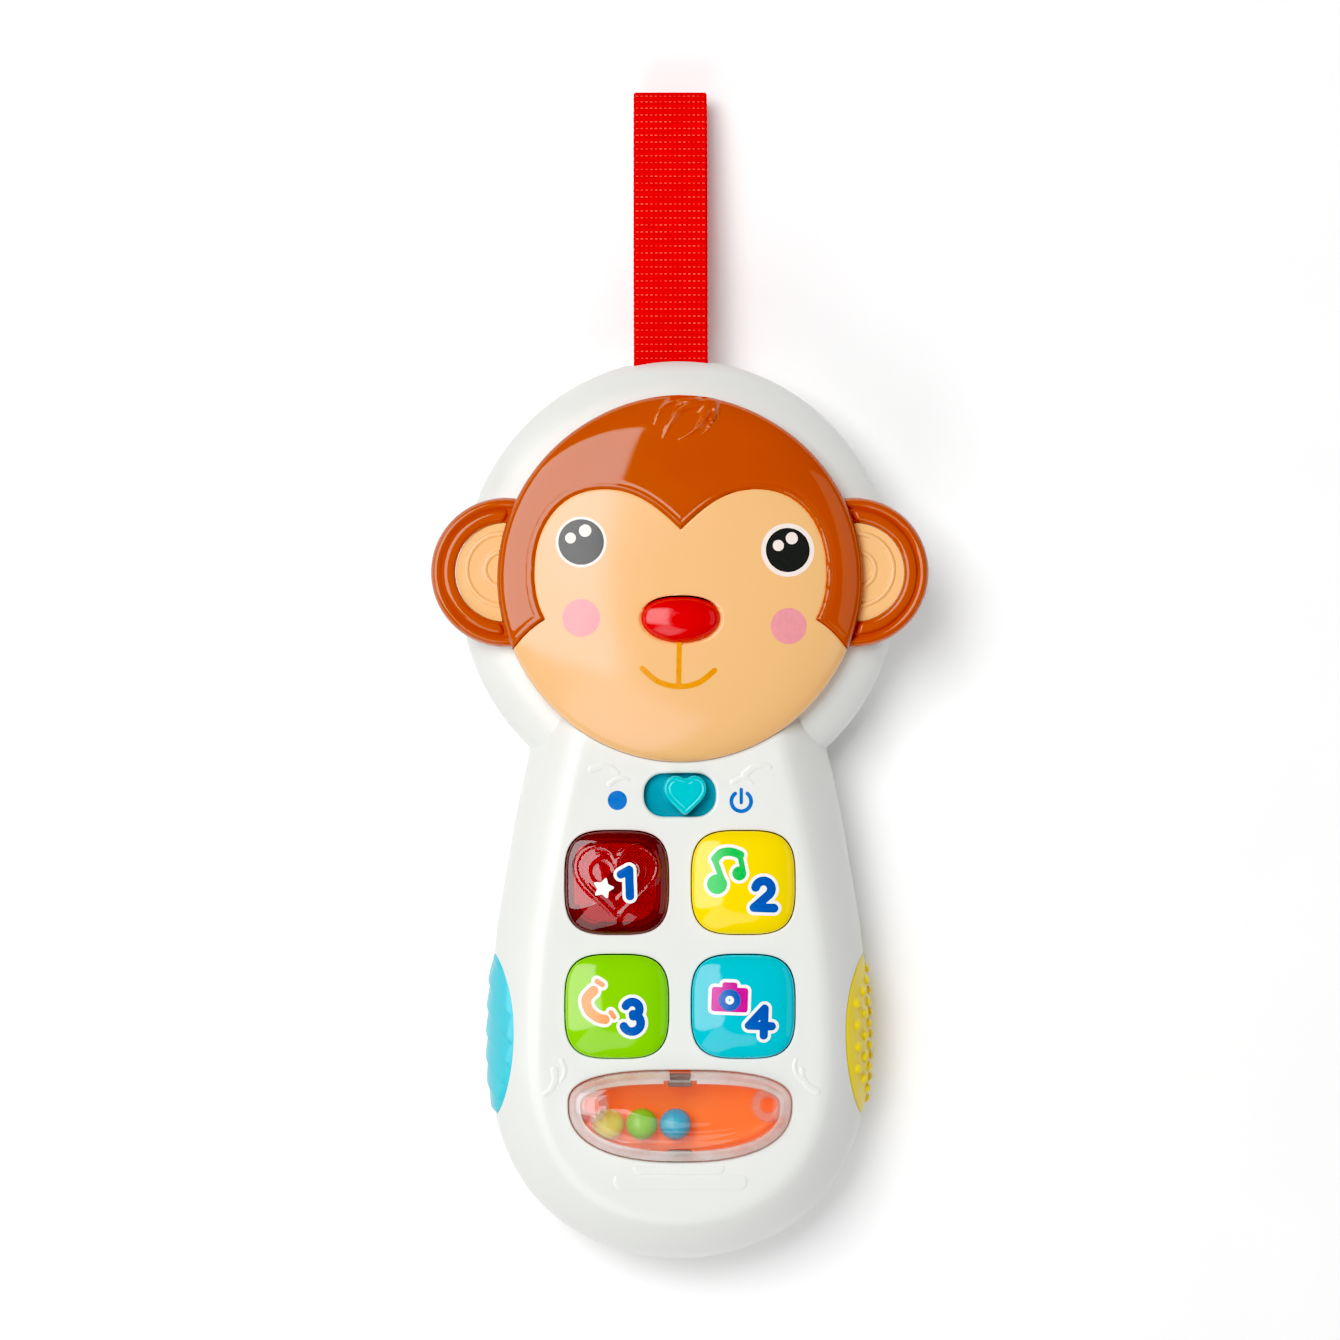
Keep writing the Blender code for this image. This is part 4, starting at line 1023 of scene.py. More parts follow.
def hair_rise(X, Y):
    """How far the hair stands over the face's dome: a step with a round edge, and the raised locks."""
    area = inside_of(face_area())
    off = area(X, Y) - GAP
    step = HAIR_STEP * rounded(-off, 0.5) - 0.16 * np.clip(1 - ((off - 1.05) / 0.4) ** 2, 0, 1)
    locks = np.zeros(np.shape(X))
    for points, start, end in TUFT:
        field = stroke(spline(points), start, end)(X, Y)
        share = np.clip(-field / start, 0, 1)
        locks = np.maximum(locks, 1.25 * share * (2 - share) * np.clip(1.4 * share + 0.25, 0, 1))
    return step + locks


def make_hair(finish):
    points, on_dome = head_grid()
    X, Y = points[:, :, 0], points[:, :, 1]
    rise = np.where(on_dome, hair_rise(X, Y), 0.0)
    rise[WALL_ROWS - 1] = np.minimum(rise[WALL_ROWS], HAIR_STEP)
    points[:, :, 2] += rise
    hair = shell("hair", points, head_inner, finish, GAP - inside_of(face_area())(X, Y), RIM_ANGLE)
    ears = [make_ear_ring(side, finish) for side in (-1, 1)]
    for piece in (hair, *ears):
        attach(piece, "phone")
    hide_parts("hair_shell")


def disc_top(x, y):
    """Height of the body's front under the ears."""
    stretch = DISC_REACH_UP / DISC_RADIUS if y > DISC_CENTRE_Y else 1.0
    reach = DISC_RADIUS - math.hypot(x, (y - DISC_CENTRE_Y) / stretch)
    return float(np.interp(reach, DISC_CURVE[1], DISC_CURVE[0], left=Z_PARTING))


DISC_CURVE = np.transpose(spline(DISC_FRONT_PROFILE))


def make_ear_ring(side, finish):
    """A round ear: a broad outer band, a channel, and a raised rib that stops short of the head."""
    columns = 300
    turns = np.radians(np.arange(columns) * 360 / columns)
    rolled_over = EAR_RADIUS - 2.2 * (1 - np.cos(np.radians(np.arange(9, 91, 9))))
    radii = [EAR_RADIUS, EAR_RADIUS, *rolled_over, *np.arange(12.7, 10.02, -0.11), 10.0, 10.0]
    rows = []
    for number, radius in enumerate(radii):
        x, y = side * EAR_X + radius * np.cos(turns), EAR_Y + radius * np.sin(turns)
        if number < 2 or number == len(radii) - 1:
            z = np.full(columns, (EAR_BASE_Z, EAR_EDGE_Z, EAR_EDGE_Z - 0.1)[min(number, 2)])
        else:
            from_head = np.hypot(x, y - FACE_CENTRE_Y) - face_radius(x, y)
            beside = np.maximum(0, np.abs(radius - EAR_RING_RIB) - 0.25)
            rib = np.hypot(beside, np.maximum(0, 1.5 - from_head)) / 1.05
            band = np.clip((EAR_RADIUS - radius) / 1.5, 0, 1)
            channel = 0.85 * np.clip(EAR_CHANNEL - radius, 0, 1)
            rolled = EAR_EDGE_Z + EAR_RING_RISE * np.sqrt(1 - (1 - band) ** 2) - channel
            z = rolled + 1.05 * np.sqrt(np.clip(1 - rib**2, 0, 1))
        rows.append(np.stack([x, y, z], 1))
    points = np.array(rows)
    values = ear_wall(points[:, :, 0], points[:, :, 1]) - 0.35

    def under(x, y, z):
        reach = math.hypot(x - side * EAR_X, y - EAR_Y)
        grow = min(reach, 14.0) / reach if reach > 12 else max(reach, 11.6) / reach
        lower = max(24.8, disc_top(x, y) + GAP) if z > 26 else EAR_BASE_Z + 0.4
        return side * EAR_X + (x - side * EAR_X) * grow, EAR_Y + (y - EAR_Y) * grow, lower

    return shell(f"ear_{'left' if side < 0 else 'right'}", points, under, finish, values, RIM_ANGLE)


def make_ear_insert(side, label, finish):
    """The ear's inner plate, with two C-shaped ribs that open towards the head."""
    ends = (90, 270) if side < 0 else (90, -90)
    ribs = [stroke(arc_points(side * EAR_RIB_X, EAR_RIB_Y, radius, *ends), 0.0) for radius in EAR_RIBS]

    def height(X, Y):
        off = np.minimum(ribs[0](X, Y), ribs[1](X, Y))
        return EAR_INSERT_TOP + 0.42 * np.sqrt(np.clip(1 - (off / 0.5) ** 2, 0, 1))

    centre = (side * EAR_X, EAR_Y)
    field = both(dot(*centre, EAR_HOLE_RADIUS - 0.1), lambda X, Y: ear_wall(X, Y) + 0.15)
    box = box_round(centre, 11)
    made = patch(f"ear_plate_{label}", field, box, 0.15, height, finish, down_to(Z_DISC + GAP))
    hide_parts(f"ear_insert_{label}")
    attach(made, "phone")


def make_face(finish):
    points, on_dome = head_grid()
    X, Y = points[:, :, 0], points[:, :, 1]
    area = inside_of(face_area())(X, Y)
    edge = 0.22 * (1 - rounded(area, 0.35))
    nose = inside_of(nose_outline(GAP))(X, Y)
    lip = 0.3 * (1 - rounded(-nose, 0.5))
    points[:, :, 2] -= np.where(on_dome, edge + lip, 0.0)
    face = shell("face", points, head_inner, finish, np.maximum(area, -nose), RIM_ANGLE)
    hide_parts("face_shell")
    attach(face, "phone")


def make_face_inks(ink_of):
    """Eyes, cheeks and mouth, printed on the dome a little askew."""
    eyes = {
        "left": ((-19.8, 26.0), 4.55, 5.05, [((-19.0, 28.25), 1.22), ((-21.9, 26.8), 1.06)]),
        "right": ((21.3, 24.4), 4.4, 5.3, [((22.1, 26.75), 1.2), ((19.4, 25.3), 1.1)]),
    }
    for side, (centre, pupil, ring, lights) in eyes.items():
        box = tuple((c - ring - 1, c + ring + 1) for c in centre)
        glints = either(*[dot(*place, radius) for place, radius in lights])
        for label, field, ink_name, lift in (
            ("white", dot(*centre, ring), "ink_ivory", BACKING_LIFT),
            ("pupil", dot(*centre, pupil), "ink_black", INK_LIFT),
            ("glints", glints, "ink_ivory", GLINT_LIFT),
        ):
            printed(f"eye_{label}_{side}", field, box, face_z, ink_of[ink_name], lift, "phone")
    for side, centre, radius in (("left", (-19.8, 10.9), 3.75), ("right", (21.5, 9.3), 3.6)):
        cheek, box = dot(*centre, radius), box_round(centre, 5)
        printed(f"cheek_{side}", cheek, box, face_z, ink_of["ink_pink"], SIGN_LIFT, "phone")
    smile = spline([(-7.65, 0.85), (-4.5, -1.75), (-0.3, -2.75), (3.6, -1.95), (6.7, 0.45)])
    mouth = either(stroke([(-0.3, 6.4), (-0.42, -2.5)], 0.52), stroke(smile, 0.56))
    printed("mouth", mouth, ((-9, 9), (-4, 8)), face_z, ink_of["ink_mouth"], SIGN_LIFT, "phone")


# Controls


def dome_profile(share, rise, fullness=2.1, power=0.6):
    """Height of a puffed cap over its edge, where share is 0 in the middle and 1 at the edge."""
    return rise * np.clip(1 - share**fullness, 0, 1) ** power


CAP_EDGE_Z, CAP_RISE, CAP_GAP, CAP_WALL = 30.25, 2.9, 0.2, 1.4
CAP_WALL_Z = (26.2, 28.6, CAP_EDGE_Z - 0.05)
NOSE_WALL_Z, NOSE_RISE = (34.2, 36.2, 37.25), 3.55
KNOB_SIZE, KNOB_PLUMP, KNOB_TOP_Z, KNOB_FOOT_Z = (8.6, 7.8), 0.45, 31.0, 27.5


def cap_share(x, y, centre):
    half = BUTTON_HALF - CAP_GAP
    across, along = np.abs(x - centre[0]) / half, np.abs(y - centre[1]) / half
    return (across**BUTTON_POWER + along**BUTTON_POWER) ** (1 / BUTTON_POWER)


def cap_surface(centre):
    return lambda X, Y: CAP_EDGE_Z + dome_profile(np.clip(cap_share(X, Y, centre), 0, 1), CAP_RISE)


def puffed(name, base, centre, walls, shares, crown, inner, finish, body, relief=None):
    """A puffed cap with a side wall and an open underside; relief(x, y) is added to its top."""
    cx, cy = centre
    rings = [level(base, z) for z in walls]
    for share in shares:
        z = crown(share)
        rings.append([(cx + (x - cx) * share, cy + (y - cy) * share, z) for x, y in base])
    points = np.array(rings)
    if relief:
        points[3:, :, 2] += relief(points[3:, :, 0], points[3:, :, 1])

    def under(x, y, z):
        return cx + (x - cx) * inner[0], cy + (y - cy) * inner[1], max(walls[0], z - CAP_WALL)

    made = shell(name, points, under, finish)
    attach(made, body)
    return made


def make_cap(name, centre, finish, body, relief=None):
    """A button's cap, with a finer mesh where it has a relief."""
    inwards = np.arange(0.95, 0.01, -0.0145) if relief else [0.945, 0.92, *np.arange(0.89, 0.03, -0.03)]
    shares = [1.0, 0.999, 0.996, 0.99, 0.98, 0.965, *inwards, 0.0]
    base = button_outline(-CAP_GAP, centre, 320 if relief else 160)
    inner = 1 - 1.2 / BUTTON_HALF

    def crown(share):
        return CAP_EDGE_Z + float(dome_profile(share, CAP_RISE))

    return puffed(name, base, centre, CAP_WALL_Z, shares, crown, (inner, inner), finish, body, relief)


def heart_relief(centre):
    """Raised heart lines on a cap, one inside the other."""
    outer = inside_of(heart(16.6, 15.4, (centre[0], centre[1] - 0.3), 60))
    inner = inside_of(heart(11.0, 10.0, (centre[0] - 0.4, centre[1] + 0.2), 60))

    def relief(X, Y):
        first = np.clip(1 - (outer(X, Y) / 0.55) ** 2, 0, 1)
        second = np.clip(1 - (inner(X, Y) / 0.9) ** 2, 0, 1)
        return HEART_LINE_RISE * np.sqrt(first) + 0.2 * second

    return relief


DIGITS = {
    1: stroke([(0.75, -2.7), (0.75, 2.55), (-0.9, 1.7)], 0.86),
    2: stroke(arc_points(0.0, 1.35, 1.6, 170, -38) + [(-1.75, -2.45), (2.25, -2.45)], 0.9),
    3: either(
        stroke(arc_points(-0.1, 1.45, 1.45, 155, -80), 0.86),
        stroke(arc_points(-0.05, -1.3, 1.75, 85, -155), 0.88),
    ),
    4: stroke([(0.95, -2.9), (0.95, 2.5), (-2.1, -1.0), (2.5, -1.0)], 0.84),
}


def star(radius):
    """A five-pointed star with rounded points."""
    points = []
    for k in range(10):
        turn, reach = math.pi / 2 + k * math.pi / 5, radius if k % 2 == 0 else radius * 0.52
        points.append((reach * math.cos(turn), reach * math.sin(turn)))
    return grown(inside_of(points), 0.25)


def button_prints():
    """For each button: its digit's place and turn, and its sign's coloured parts.

    Each part has a label, a field, an ink, a place from the button's middle, and a turn.
    """
    notes = either(
        dot(-5.3, -0.5, 2.0),
        dot(-1.0, 1.9, 1.4),
        stroke([(-4.0, -0.3), (-6.0, 4.4)], 0.6),
        stroke([(-0.15, 2.0), (-1.0, 5.4)], 0.55),
        stroke(spline([(-5.9, 4.5), (-4.7, 5.8), (-2.8, 6.1), (-1.0, 5.6)]), 0.85),
    )
    handset = either(
        stroke(spline([(-4.7, 3.3), (-6.1, 1.6), (-5.6, -0.6), (-3.9, -2.0), (-2.4, -2.4)]), 1.0, 0.95),
        stroke([(-4.0, 5.2), (-2.9, 4.5)], 0.5),
        stroke([(-1.2, -1.0), (-0.6, -1.9)], 0.5),
    )
    body = inside_of(rectangle((-6.5, 0.8), (-1.0, 3.9), 0.6))
    finder = inside_of(rectangle((-4.4, -1.4), (3.5, 4.9), 0.5))
    glass = (-2.85, 1.35)
    camera = both(either(body, finder), outside(dot(*glass, 2.2)))
    lens = both(dot(*glass, 2.2), outside(dot(*glass, 0.85)))
    middle = (0.0, 0.0)
    return {
        1: ((1.75, 0.1), 2, [("star", star(1.85), "ink_white", (-2.7, -1.0), -14)]),
        2: ((3.9, -2.5), -2, [("notes", notes, "ink_green", middle, -3)]),
        3: ((3.1, -1.8), -2, [("handset", handset, "ink_orange", middle, 0)]),
        4: (
            (3.15, -2.7), -2,
            [("camera", camera, "ink_magenta", middle, -2), ("lens", lens, "ink_blue", middle, -2)],
        ),
    }


OUTLINE_WIDTH, HEART_LINE_RISE = 0.62, 0.34
BUTTON_LOOKS = {
    1: ("ruby", "clear_red_plastic"), 2: ("yellow", "yellow_plastic"),
    3: ("green", "green_plastic"), 4: ("cyan", "cyan_plastic"),
}


def make_buttons(finishes):
    """The four caps with their prints; on the first, only the digit has a white outline."""
    prints = button_prints()
    for number, place in enumerate(button_places(), 1):
        body, (colour, slot), has_hearts = f"button_{number}", BUTTON_LOOKS[number], number == 1
        relief = heart_relief(place) if has_hearts else None
        cap = make_cap(f"button_cap_{number}", place, finishes[colour], body, relief)
        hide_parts(body)
        digit_at, digit_turn, signs = prints[number]
        layers = [("digit", DIGITS[number], "ink_blue", digit_at, digit_turn), *signs]
        shapes = [
            (label, placed(field, (place[0] + at[0], place[1] + at[1]), turn), ink_name, INK_LIFT)
            for label, field, ink_name, at, turn in layers
        ]
        outlined = [shape for _, shape, _, _ in (shapes[:1] if has_hearts else shapes)]
        backing = ("white", grown(either(*outlined), OUTLINE_WIDTH), "ink_white", BACKING_LIFT)
        clear = HEART_LINE_RISE if has_hearts else 0.0
        surface, box = cap_surface(place), box_round(place, 9.4)
        for label, shape, ink_name, lift in (backing, *shapes):
            printed(f"print_{number}_{label}", shape, box, surface, finishes[ink_name], lift + clear, body)


def make_nose(finish):
    shares = [0.998, 0.99, 0.975, 0.955, 0.925, 0.89, 0.85, *np.arange(0.8, 0.05, -0.06), 0.0]

    def crown(share):
        return NOSE_WALL_Z[-1] + float(dome_profile(share, NOSE_RISE, 2.4, 0.5))

    base, centre, inner = nose_outline(), (0.0, NOSE_Y), (0.84, 0.76)
    made = puffed("nose_cap", base, centre, NOSE_WALL_Z, shares, crown, inner, finish, "nose")
    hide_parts("nose_button")


def make_slider(finishes):
    """The switch's plate, and its heart knob with a raised round border."""
    centre = (KNOB_REST_X, SLOT_Y)
    plate = [(0.5, 26.2), (0.0, 26.5), (0.0, 27.4), (0.3, 27.7)]
    outline = rectangle((KNOB_REST_X - 10, KNOB_REST_X + 10), (SLOT_Y - 4.9, SLOT_Y + 4.55), 2.0)
    levels = [(moved_in(outline, inset), z) for inset, z in plate]
    # The plate's teal, darker than the knob's, is painted shade for the depth of the slot.
    slider = loft("slider_plate", levels, finishes["teal_painted_shade"])
    field = inside_of(heart(*KNOB_SIZE, centre, plump=KNOB_PLUMP))

    def height(X, Y):
        off = field(X, Y)
        groove = np.clip(1 - ((off + 0.95) / 0.3) ** 2, 0, 1)
        return KNOB_TOP_Z + 0.8 * rounded(off, 0.5) - 0.14 * groove

    box = ((centre[0] - 5, centre[0] + 5), (SLOT_Y - 4.6, SLOT_Y + 4.6))
    knob = patch("heart_knob", field, box, 0.11, height, finishes["teal"], down_to(KNOB_FOOT_Z))
    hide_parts("power_slider")
    for piece in (slider, knob):
        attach(piece, "power_slider")


def flat_front(x, y):
    return np.full(np.shape(x), Z_FRONT)


def make_signs(finish):
    """The off dot and the power sign beside the switch."""
    off = dot(-12.55, -25.55, 1.95)
    ring = stroke(arc_points(12.25, -25.75, 1.98, 128, 412, 40), 0.4)
    power = either(ring, stroke([(12.25, -26.0), (12.25, -23.35)], 0.36))
    for name, field, box, step in (
        ("off_sign", off, ((-15, -10), (-28, -23)), 0.14),
        ("power_sign", power, ((9, 16), (-29, -22)), 0.1),
    ):
        printed(name, field, box, flat_front, finish, SIGN_LIFT, "phone", step)


# Rattle


BUBBLE_FOOT_Z, BUBBLE_RISE, BUBBLE_REACH, BUBBLE_POWER, WINDOW_WALL = 30.3, 3.9, 6.5, 2.4, 1.2
CLEAR_INSET, CLEAR_HALF_X = 1.95, 2.7
CATCH_HALF_X, CATCH_Z = 2.4, (27.0, 29.6, 29.8)


def window_shell(thin):
    """Levels of the window's bubble, moved in all over by thin."""
    levels = []
    for share in (0.0, 0.03, 0.08, 0.15, 0.24, 0.34, 0.45, 0.57, 0.7, 0.83, 0.94):
        grow = max(-BUBBLE_REACH * share - thin, -BUBBLE_REACH - 0.12)
        rise = BUBBLE_RISE * math.sqrt(1 - (1 - share) ** BUBBLE_POWER)
        levels.append((window_outline(grow), BUBBLE_FOOT_Z + rise - thin * 0.95))
    return levels


def make_window(finishes):
    """The clear bubble, hazier round its rim, with two bosses and two catches on its edges."""
    outer = [(window_outline(grow), z) for grow, z in ((1.6, 26.3), (1.6, 27.6), (0, 27.7))]
    inner = [(window_outline(-1.25), z) for z in (26.3, 28.8)]
    around = list(reversed(inner + window_shell(WINDOW_WALL)[1:])) + outer + window_shell(0)
    rings = [level(loop, z) for loop, z in around]
    window = add_mesh("window", *skin_data(rings), finishes["window"], 0.0, math.radians(55))
    window.data.materials.append(finishes["rim"])
    clear_part = inside_of(window_outline(-CLEAR_INSET))
    for face in window.data.polygons:
        x, y = face.center.x / MM, face.center.y / MM
        beside_catch = abs(x) > CLEAR_HALF_X or y < WINDOW_Y
        face.material_index = int(beside_catch and clear_part(x, y) > 0)
    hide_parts("rattle_window")
    bosses = []
    section = [(3.4, 28.3), (3.4, 31.6), (3.15, 31.95), (2.0, 31.95), (1.6, 31.6), (1.6, 28.3)]
    for side, label in ((-1, "left"), (1, "right")):
        at = (side * WINDOW_BOSS_X, WINDOW_Y, 0)
        bosses.append(turned(f"window_boss_{label}", section, finishes["boss"], 56, True, at))
    # The catches' dark tint is painted shade in the notches under the snaps.
    catches = {"top": (WINDOW_Y + WINDOW_UP - 1.9, 1.25), "bottom": (WINDOW_Y - WINDOW_DOWN + 1.5, 0.6)}
    for label, (y, depth) in catches.items():
        outline = rectangle((-CATCH_HALF_X, CATCH_HALF_X), (y - depth, y + depth), 0.25)
        levels = list(zip((outline, outline, moved_in(outline, 0.15)), CATCH_Z))
        bosses.append(loft(f"window_catch_{label}", levels, finishes["catch"]))
    for piece in (window, *bosses):
        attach(piece, "phone")


def make_tray(finish):
    rings = [(-0.75, 26.0), (-1.0, 24.4), (-1.5, 22.6), (-2.4, 21.5), (-3.6, 21.12), (-6.3, 21.1)]
    outside_rings = [(-4.0, 19.9), (-0.6, 20.3), (0.0, 21.5), (0.25, 24.5), (0.4, 26.0)]
    inner = [level(window_outline(grow), z) for grow, z in spline(rings, 4)]
    outer = [level(window_outline(grow), z) for grow, z in outside_rings]
    tray = add_mesh("tray", *skin_data(list(reversed(inner)) + list(reversed(outer))), finish)
    # Painted light: the tray gives off a little orange light of its own, so it looks brightly lit under the
    # window.
    painted_glow = finish.node_tree.nodes["Principled BSDF"].inputs
    painted_glow["Emission Color"].default_value = (1.0, 0.12, 0.01, 1.0)
    painted_glow["Emission Strength"].default_value = 0.3
    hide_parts("rattle_tray")
    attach(tray, "phone")


def make_beads(finishes):
    """Moulded beads with a fine seam round the middle and a small gate mark."""
    for colour in ("yellow", "green", "sky"):
        low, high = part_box(f"bead_{colour}")
        centre = (low + high) / 2 / MM
        rings = []
        for k in range(1, 48):
            turn = math.pi * k / 48
            radius = BEAD_RADIUS * (1 - 0.02 * math.exp(-((k - 24) / 0.8) ** 2))
            flat = 1 - 0.03 * math.exp(-((k - 1) / 3.0) ** 2)
            ring = level(circle(radius * math.sin(turn), count=64), 0)
            along = radius * math.cos(turn) * flat
            rings.append([(centre.x + along, centre.y + x, centre.z + y) for x, y, _ in ring])
        bead = add_mesh(f"rattle_bead_{colour}", *skin_data(rings), finishes[f"bead_{colour}"])
        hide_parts(f"bead_{colour}")
        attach(bead, f"bead_{colour}")


# Side grips


def flank_x(y, z):
    """How far the flank lies from the middle at a place along the phone and a height."""
    flank = [(y_out, x_out) for x_out, y_out in grip_outline(600) if x_out > 20 and -110 < y_out < -20]
    half = np.interp(y, *zip(*sorted(flank)))
    below, above = (np.interp(z, *zip(*spline(profile))) for profile in (REAR_PROFILE, GRIP_FRONT_PROFILE))
    return half - np.where(z < Z_PARTING, below, above)


def leaf_relief(y, z):
    """Overlapping leaf blades that slant across the grip."""
    place = y / 5.2 + z / 9.5 - 0.18 * np.sin(z / 3.5)
    blade = place - np.floor(place)
    edge = np.clip(blade / 0.08, 0, 1)
    return 0.62 * edge * (1 - blade) ** 0.8 - 0.1


def nub_relief(y, z):
    """Round nubs in staggered rows."""
    best = np.zeros(np.shape(y))
    for row in range(-3, 4):
        for column in range(-4, 5):
            ny, nz = column * 4.4 + (2.2 if row % 2 else 0.0), row * 2.9
            if (ny / 14.8) ** 2 + (nz / 9.9) ** 2 < 1:
                best = np.maximum(best, 1 - np.hypot(y - ny, z - nz) ** 2 / 1.0**2)
    return 0.8 * np.sqrt(best)


def make_side_grip(side, label, finish, relief):
    """A soft pad on one flank: rings from its edge to its middle, moved out from the flank."""
    shares = np.array([1.0, 0.985, 0.96, 0.93, 0.9, *np.arange(0.885, 0.02, -0.0155), 0.0])[:, None]
    half_y, half_z = GRIP_PAD_HALF
    edge = np.array(superellipse(half_z, half_y, power_up=2.2, count=300))
    Y, Z = edge[:, 1] * shares, edge[:, 0] * shares
    y, z = GRIP_PAD_Y + Y, GRIP_PAD_Z + Z
    tilt = (flank_x(y, z + 0.3) - flank_x(y, z - 0.3)) / 0.6
    out = -0.25 + (GRIP_PAD_PROUD - 0.15) * np.sqrt(1 - shares**5)
    out = out + relief(Y, Z) * np.clip((1 - shares) / 0.07, 0, 1)
    length = np.hypot(1.0, tilt)
    points = np.dstack([side * (flank_x(y, z) + out / length), y, z - out * tilt / length])

    def under(x, y, z):
        return side * (abs(x) - 1.1), y, z

    made = shell(f"side_grip_{label}", points, under, finish, sharp=RIM_ANGLE)
    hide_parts(f"grip_{label}")
    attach(made, "phone")


# Strap


def make_strap(finish):
    """Webbing in a closed loop round its pin, with ribs across it, between which its edges pull in."""
    rows, across = 620, 48
    line = evenly(spline_loop(STRAP_LOOP), rows)
    spans = [math.dist(p, q) for p, q in zip(line, line[1:] + line[:1])]
    length = sum(spans)
    ribs = round(length / RIB_PITCH)
    half, wide = STRAP_THICK / 2, STRAP_WIDTH / 2
    section = [(-1.0 + 2.0 * k / across, 1.0) for k in range(across + 1)]
    section += [(1.0 - 2.0 * k / across, -1.0) for k in range(across + 1)]
    rings, along = [], 0.0
    for k in range(rows):
        (ay, az), (y, z), (by, bz) = line[k - 1], line[k], line[(k + 1) % rows]
        span = math.hypot(by - ay, bz - az)
        ny, nz = (bz - az) / span, -(by - ay) / span
        rib = math.cos(2 * math.pi * ribs * along / length)
        edge = wide - 0.03 * (1 - rib)
        ring = []
        for u, out in section:
            rounding = math.sqrt(max(0.0, 1 - max(0.0, (abs(u) - 0.95) / 0.05) ** 2))
            lift = half - 0.13 + 0.07 * rib * rounding
            lift *= 0.35 + 0.65 * rounding
            ring.append((STRAP_X + u * edge, y + ny * lift * out, z + nz * lift * out))
        rings.append(ring)
        along += spans[k]
    strap = add_mesh("strap_webbing", *skin_data(rings, closed=True), finish)
    layer = strap.data.uv_layers.new(name="woven").data
    columns = len(section)
    scale = ribs * RIB_PITCH / rows
    for polygon in strap.data.polygons:
        places = [divmod(strap.data.loops[i].vertex_index, columns) for i in polygon.loop_indices]
        last = max(row for row, _ in places)
        for i, (row, column) in zip(polygon.loop_indices, places):
            row = rows if row == 0 and last == rows - 1 else row
            layer[i].uv = (section[column][0] * wide, row * scale)
    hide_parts("strap")
    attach(strap, "phone")


# Back


def make_screw(name, at, head_radius, head_height, replaces):
    """A pan-head screw seen from below, with a cross recess."""
    r, h = head_radius, head_height
    profile = [
        (0, 0), (r * 0.72, 0), (r * 0.88, h * 0.12), (r * 0.97, h * 0.35), (r, h * 0.7), (r, h), (1.0, h),
        (1.0, h + 5.0), (0, h + 5.0),
    ]
    screw = turned(name, profile, MATERIALS["steel"], 48, False, (at[0], at[1], at[2] - h))
    long, slim, deep = r * 0.58, 0.32, h * 0.62
    tools = []
    for a, b in ((long, slim), (slim, long)):
        levels = []
        for share, z in ((1.0, -0.5), (1.0, 0.0), (0.6, deep)):
            loop = rectangle((-a * share, a * share), (-b * share, b * share))
            levels.append(([(x + at[0], y + at[1]) for x, y in loop], z + at[2] - h))
        tools.append(loft("recess", levels))
    cut(screw, *tools)
    finish_edges(screw, MATERIALS["steel"], SCREW_ANGLE)
    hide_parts(replaces)
    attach(screw, "phone")


def make_back(finishes):
    half, (low, high) = COVER_HALF_X, COVER_Y
    outline = rectangle((-half, half), (low, high), 1.7)
    edge = [(0.35, 0.0), (0.12, 0.1), (0.0, 0.35), (0.0, COVER_THICK)]
    cover = loft("battery_door", [(moved_in(outline, inset), z) for inset, z in edge])
    at = (0, COVER_SCREW_Y)
    grooves = [[(circle(radius, at), z) for radius, z in ((3.1, -1), (2.9, 0.2), (2.9, 0.9))]]
    for k in range(4):
        y = low + 4.2 + 1.9 * k
        reach = 7.0 - 0.9 * k
        grooves.append([(rectangle((-reach, reach), (y - 0.45, y + 0.45), 0.42), z) for z in (-1, 0.32)])
    cut(cover, lofts("grooves", grooves))
    cut(cover, prism("through", circle(1.9, at), (0.5, 3)))
    finish_edges(cover, finishes["white"])
    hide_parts("battery_cover")
    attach(cover, "phone")
    make_screw("cover_screw", (0, COVER_SCREW_Y, 0.65), 2.4, 0.6, "battery_cover_screw")
    for number, place in enumerate(HOUSING_SCREWS, 1):
        make_screw(f"case_screw_{number}", (*place, 7.2), 2.8, 1.9, f"housing_screw_{number}")


def dress_inner_pieces(finishes):
    """Materials for the CAD pieces that stay as they are."""
    dressed = {
        "steel": [
            "board_screw_1", "board_screw_2", "face_screw_1", "face_screw_2", "switch_body",
            "speaker_frame", "speaker_magnet", "strap_pin", "battery_spring_1", "battery_spring_2",
            "battery_plate_bridge", "battery_plate_positive", "battery_plate_negative",
        ],
        "board": ["main_board", "nose_board"],
        "black": ["switch_lever", "sound_chip", "speaker_cone"],
        "rubber": ["dome_1", "dome_2", "dome_3", "dome_4", "nose_dome"],
        "jacket": ["battery_1", "battery_2"],
        "wire": ["speaker_wire", "battery_wire", "nose_wire"],
        "ruby": ["led"],
        "foil": ["button_1_reflector"],
    }
    for finish, nodes in dressed.items():
        for node in nodes:
            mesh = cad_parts[node].data
            mesh.materials.clear()
            mesh.materials.append(finishes[finish])


# Studio


CAMERA_AT, CAMERA_LENS, CAMERA_SHIFT_X = (-0.018, 0.00055, 1.001), 130.3, 0.0596
TONES_BLACK, TONES_MIDDLE, TONES_WHITE = (0.027, 0.0), (0.5, 0.5), (1.0, 0.825)


def make_camera():
    data = bpy.data.cameras.new("camera")
    data.lens, data.sensor_width = CAMERA_LENS, 36.0
    data.shift_x = CAMERA_SHIFT_X
    data.clip_start, data.clip_end = 0.05, 10.0
    camera = bpy.data.objects.new("camera", data)
    camera.location = CAMERA_AT
    bpy.context.collection.objects.link(camera)
    bpy.context.scene.camera = camera


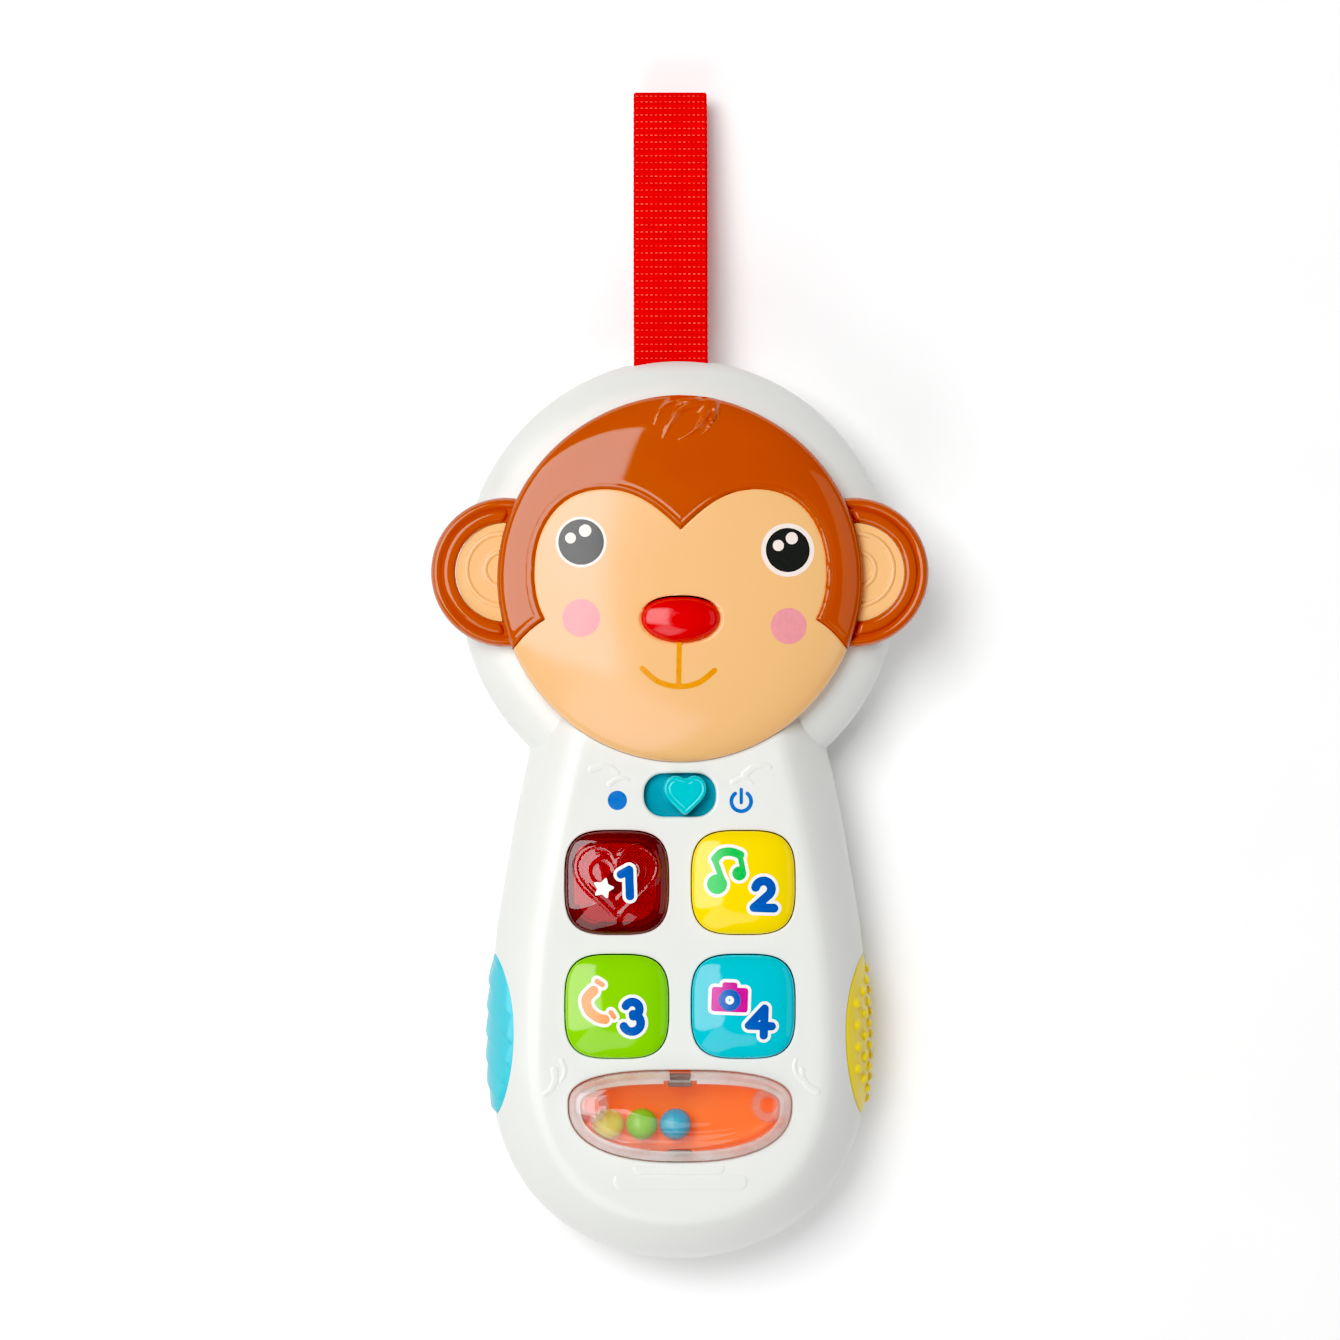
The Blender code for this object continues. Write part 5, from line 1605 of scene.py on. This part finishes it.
def softbox(name, at, target, size, radiance, lights):
    """A rectangular light that shows either in diffuse shading or in reflections."""
    data = bpy.data.lights.new(name, "AREA")
    data.shape, data.size, data.size_y = "RECTANGLE", *size
    data.energy = radiance * math.pi * size[0] * size[1]
    made = bpy.data.objects.new(name, data)
    made.location = at
    made.rotation_euler = (Vector(target) - Vector(at)).to_track_quat("-Z", "Y").to_euler()
    made.visible_diffuse = lights == "diffuse"
    made.visible_glossy = lights == "reflections"
    bpy.context.collection.objects.link(made)


def make_floor():
    """White paper that lights itself a little, just under the phone."""
    made, tree, shader = new_material("paper_floor")
    shade = mix_colours(tree, spread(tree, noise(tree, 30.0), 0, 1), (0.97, 0.97, 0.97), (0.99, 0.99, 0.99))
    tree.links.new(shade, shader.inputs["Base Color"])
    for name, value in (
        ("Roughness", 0.9), ("Specular IOR Level", 0.1), ("Emission Color", (1.0, 1.0, 1.0, 1.0)),
        ("Emission Strength", 0.08),
    ):
        shader.inputs[name].default_value = value
    bump(tree, shader, noise(tree, 1500.0), 0.03, 0.0002)
    corners = level([(-2500, -2500), (2500, -2500), (2500, 2500), (-2500, 2500)], -0.05)
    add_mesh("floor", corners, [(0, 1, 2, 3)], made)


def make_studio():
    """Broad light from above and to the left; a tall softbox at the left is what the gloss shows."""
    softbox("overhead", (-0.36, 0.36, 1.2), (0.0, 0.0, 0.02), (0.65, 0.65), 13.0, "diffuse")
    softbox("front_fill", (-0.3, -0.9, 0.8), (0.0, 0.0, 0.02), (0.7, 0.6), 4.3, "diffuse")
    softbox("left", (-0.634, 0.31, 0.64), (-0.034, 0.31, -0.031), (1.225, 1.15), 4.8, "reflections")
    softbox("low_left", (-0.26, -0.66, 0.6), (0.19, -0.17, 0.02), (0.6, 0.92), 1.9, "reflections")
    softbox("right", (0.82, 0.1, 0.4), (0.0, 0.1, 0.02), (1.1, 0.45), 0.8, "reflections")
    world = bpy.data.worlds.new("studio")
    world.use_nodes = True
    background = world.node_tree.nodes["Background"]
    background.inputs["Color"].default_value = (1.0, 1.0, 1.0, 1.0)
    background.inputs["Strength"].default_value = 0.2
    scene = bpy.context.scene
    scene.world = world
    view = scene.view_settings
    view.view_transform = "Standard"
    view.use_curve_mapping = True
    mapping = view.curve_mapping
    mapping.use_clip = False
    mapping.extend = "EXTRAPOLATED"
    points = mapping.curves[3].points
    points[0].location, points[1].location = TONES_BLACK, TONES_WHITE
    points.new(*TONES_MIDDLE)
    for point in points:
        point.handle_type = "VECTOR"
    mapping.update()


make_camera()
MATERIALS = make_materials()
make_floor()
make_studio()
make_front_housing(MATERIALS["white"])
make_rear_housing(MATERIALS["white"])
make_relief(MATERIALS["white"])
make_hair(MATERIALS["brown"])
for ear_side, ear_label in ((-1, "left"), (1, "right")):
    make_ear_insert(ear_side, ear_label, MATERIALS["peach"])
make_face(MATERIALS["peach"])
make_face_inks(MATERIALS)
make_buttons(MATERIALS)
make_nose(MATERIALS["nose"])
make_slider(MATERIALS)
make_signs(MATERIALS["ink_sign"])
make_window(MATERIALS)
make_tray(MATERIALS["orange"])
make_beads(MATERIALS)
make_side_grip(-1, "left", MATERIALS["grip_cyan"], leaf_relief)
make_side_grip(1, "right", MATERIALS["grip_yellow"], nub_relief)
make_strap(MATERIALS["webbing"])
make_back(MATERIALS)
dress_inner_pieces(MATERIALS)
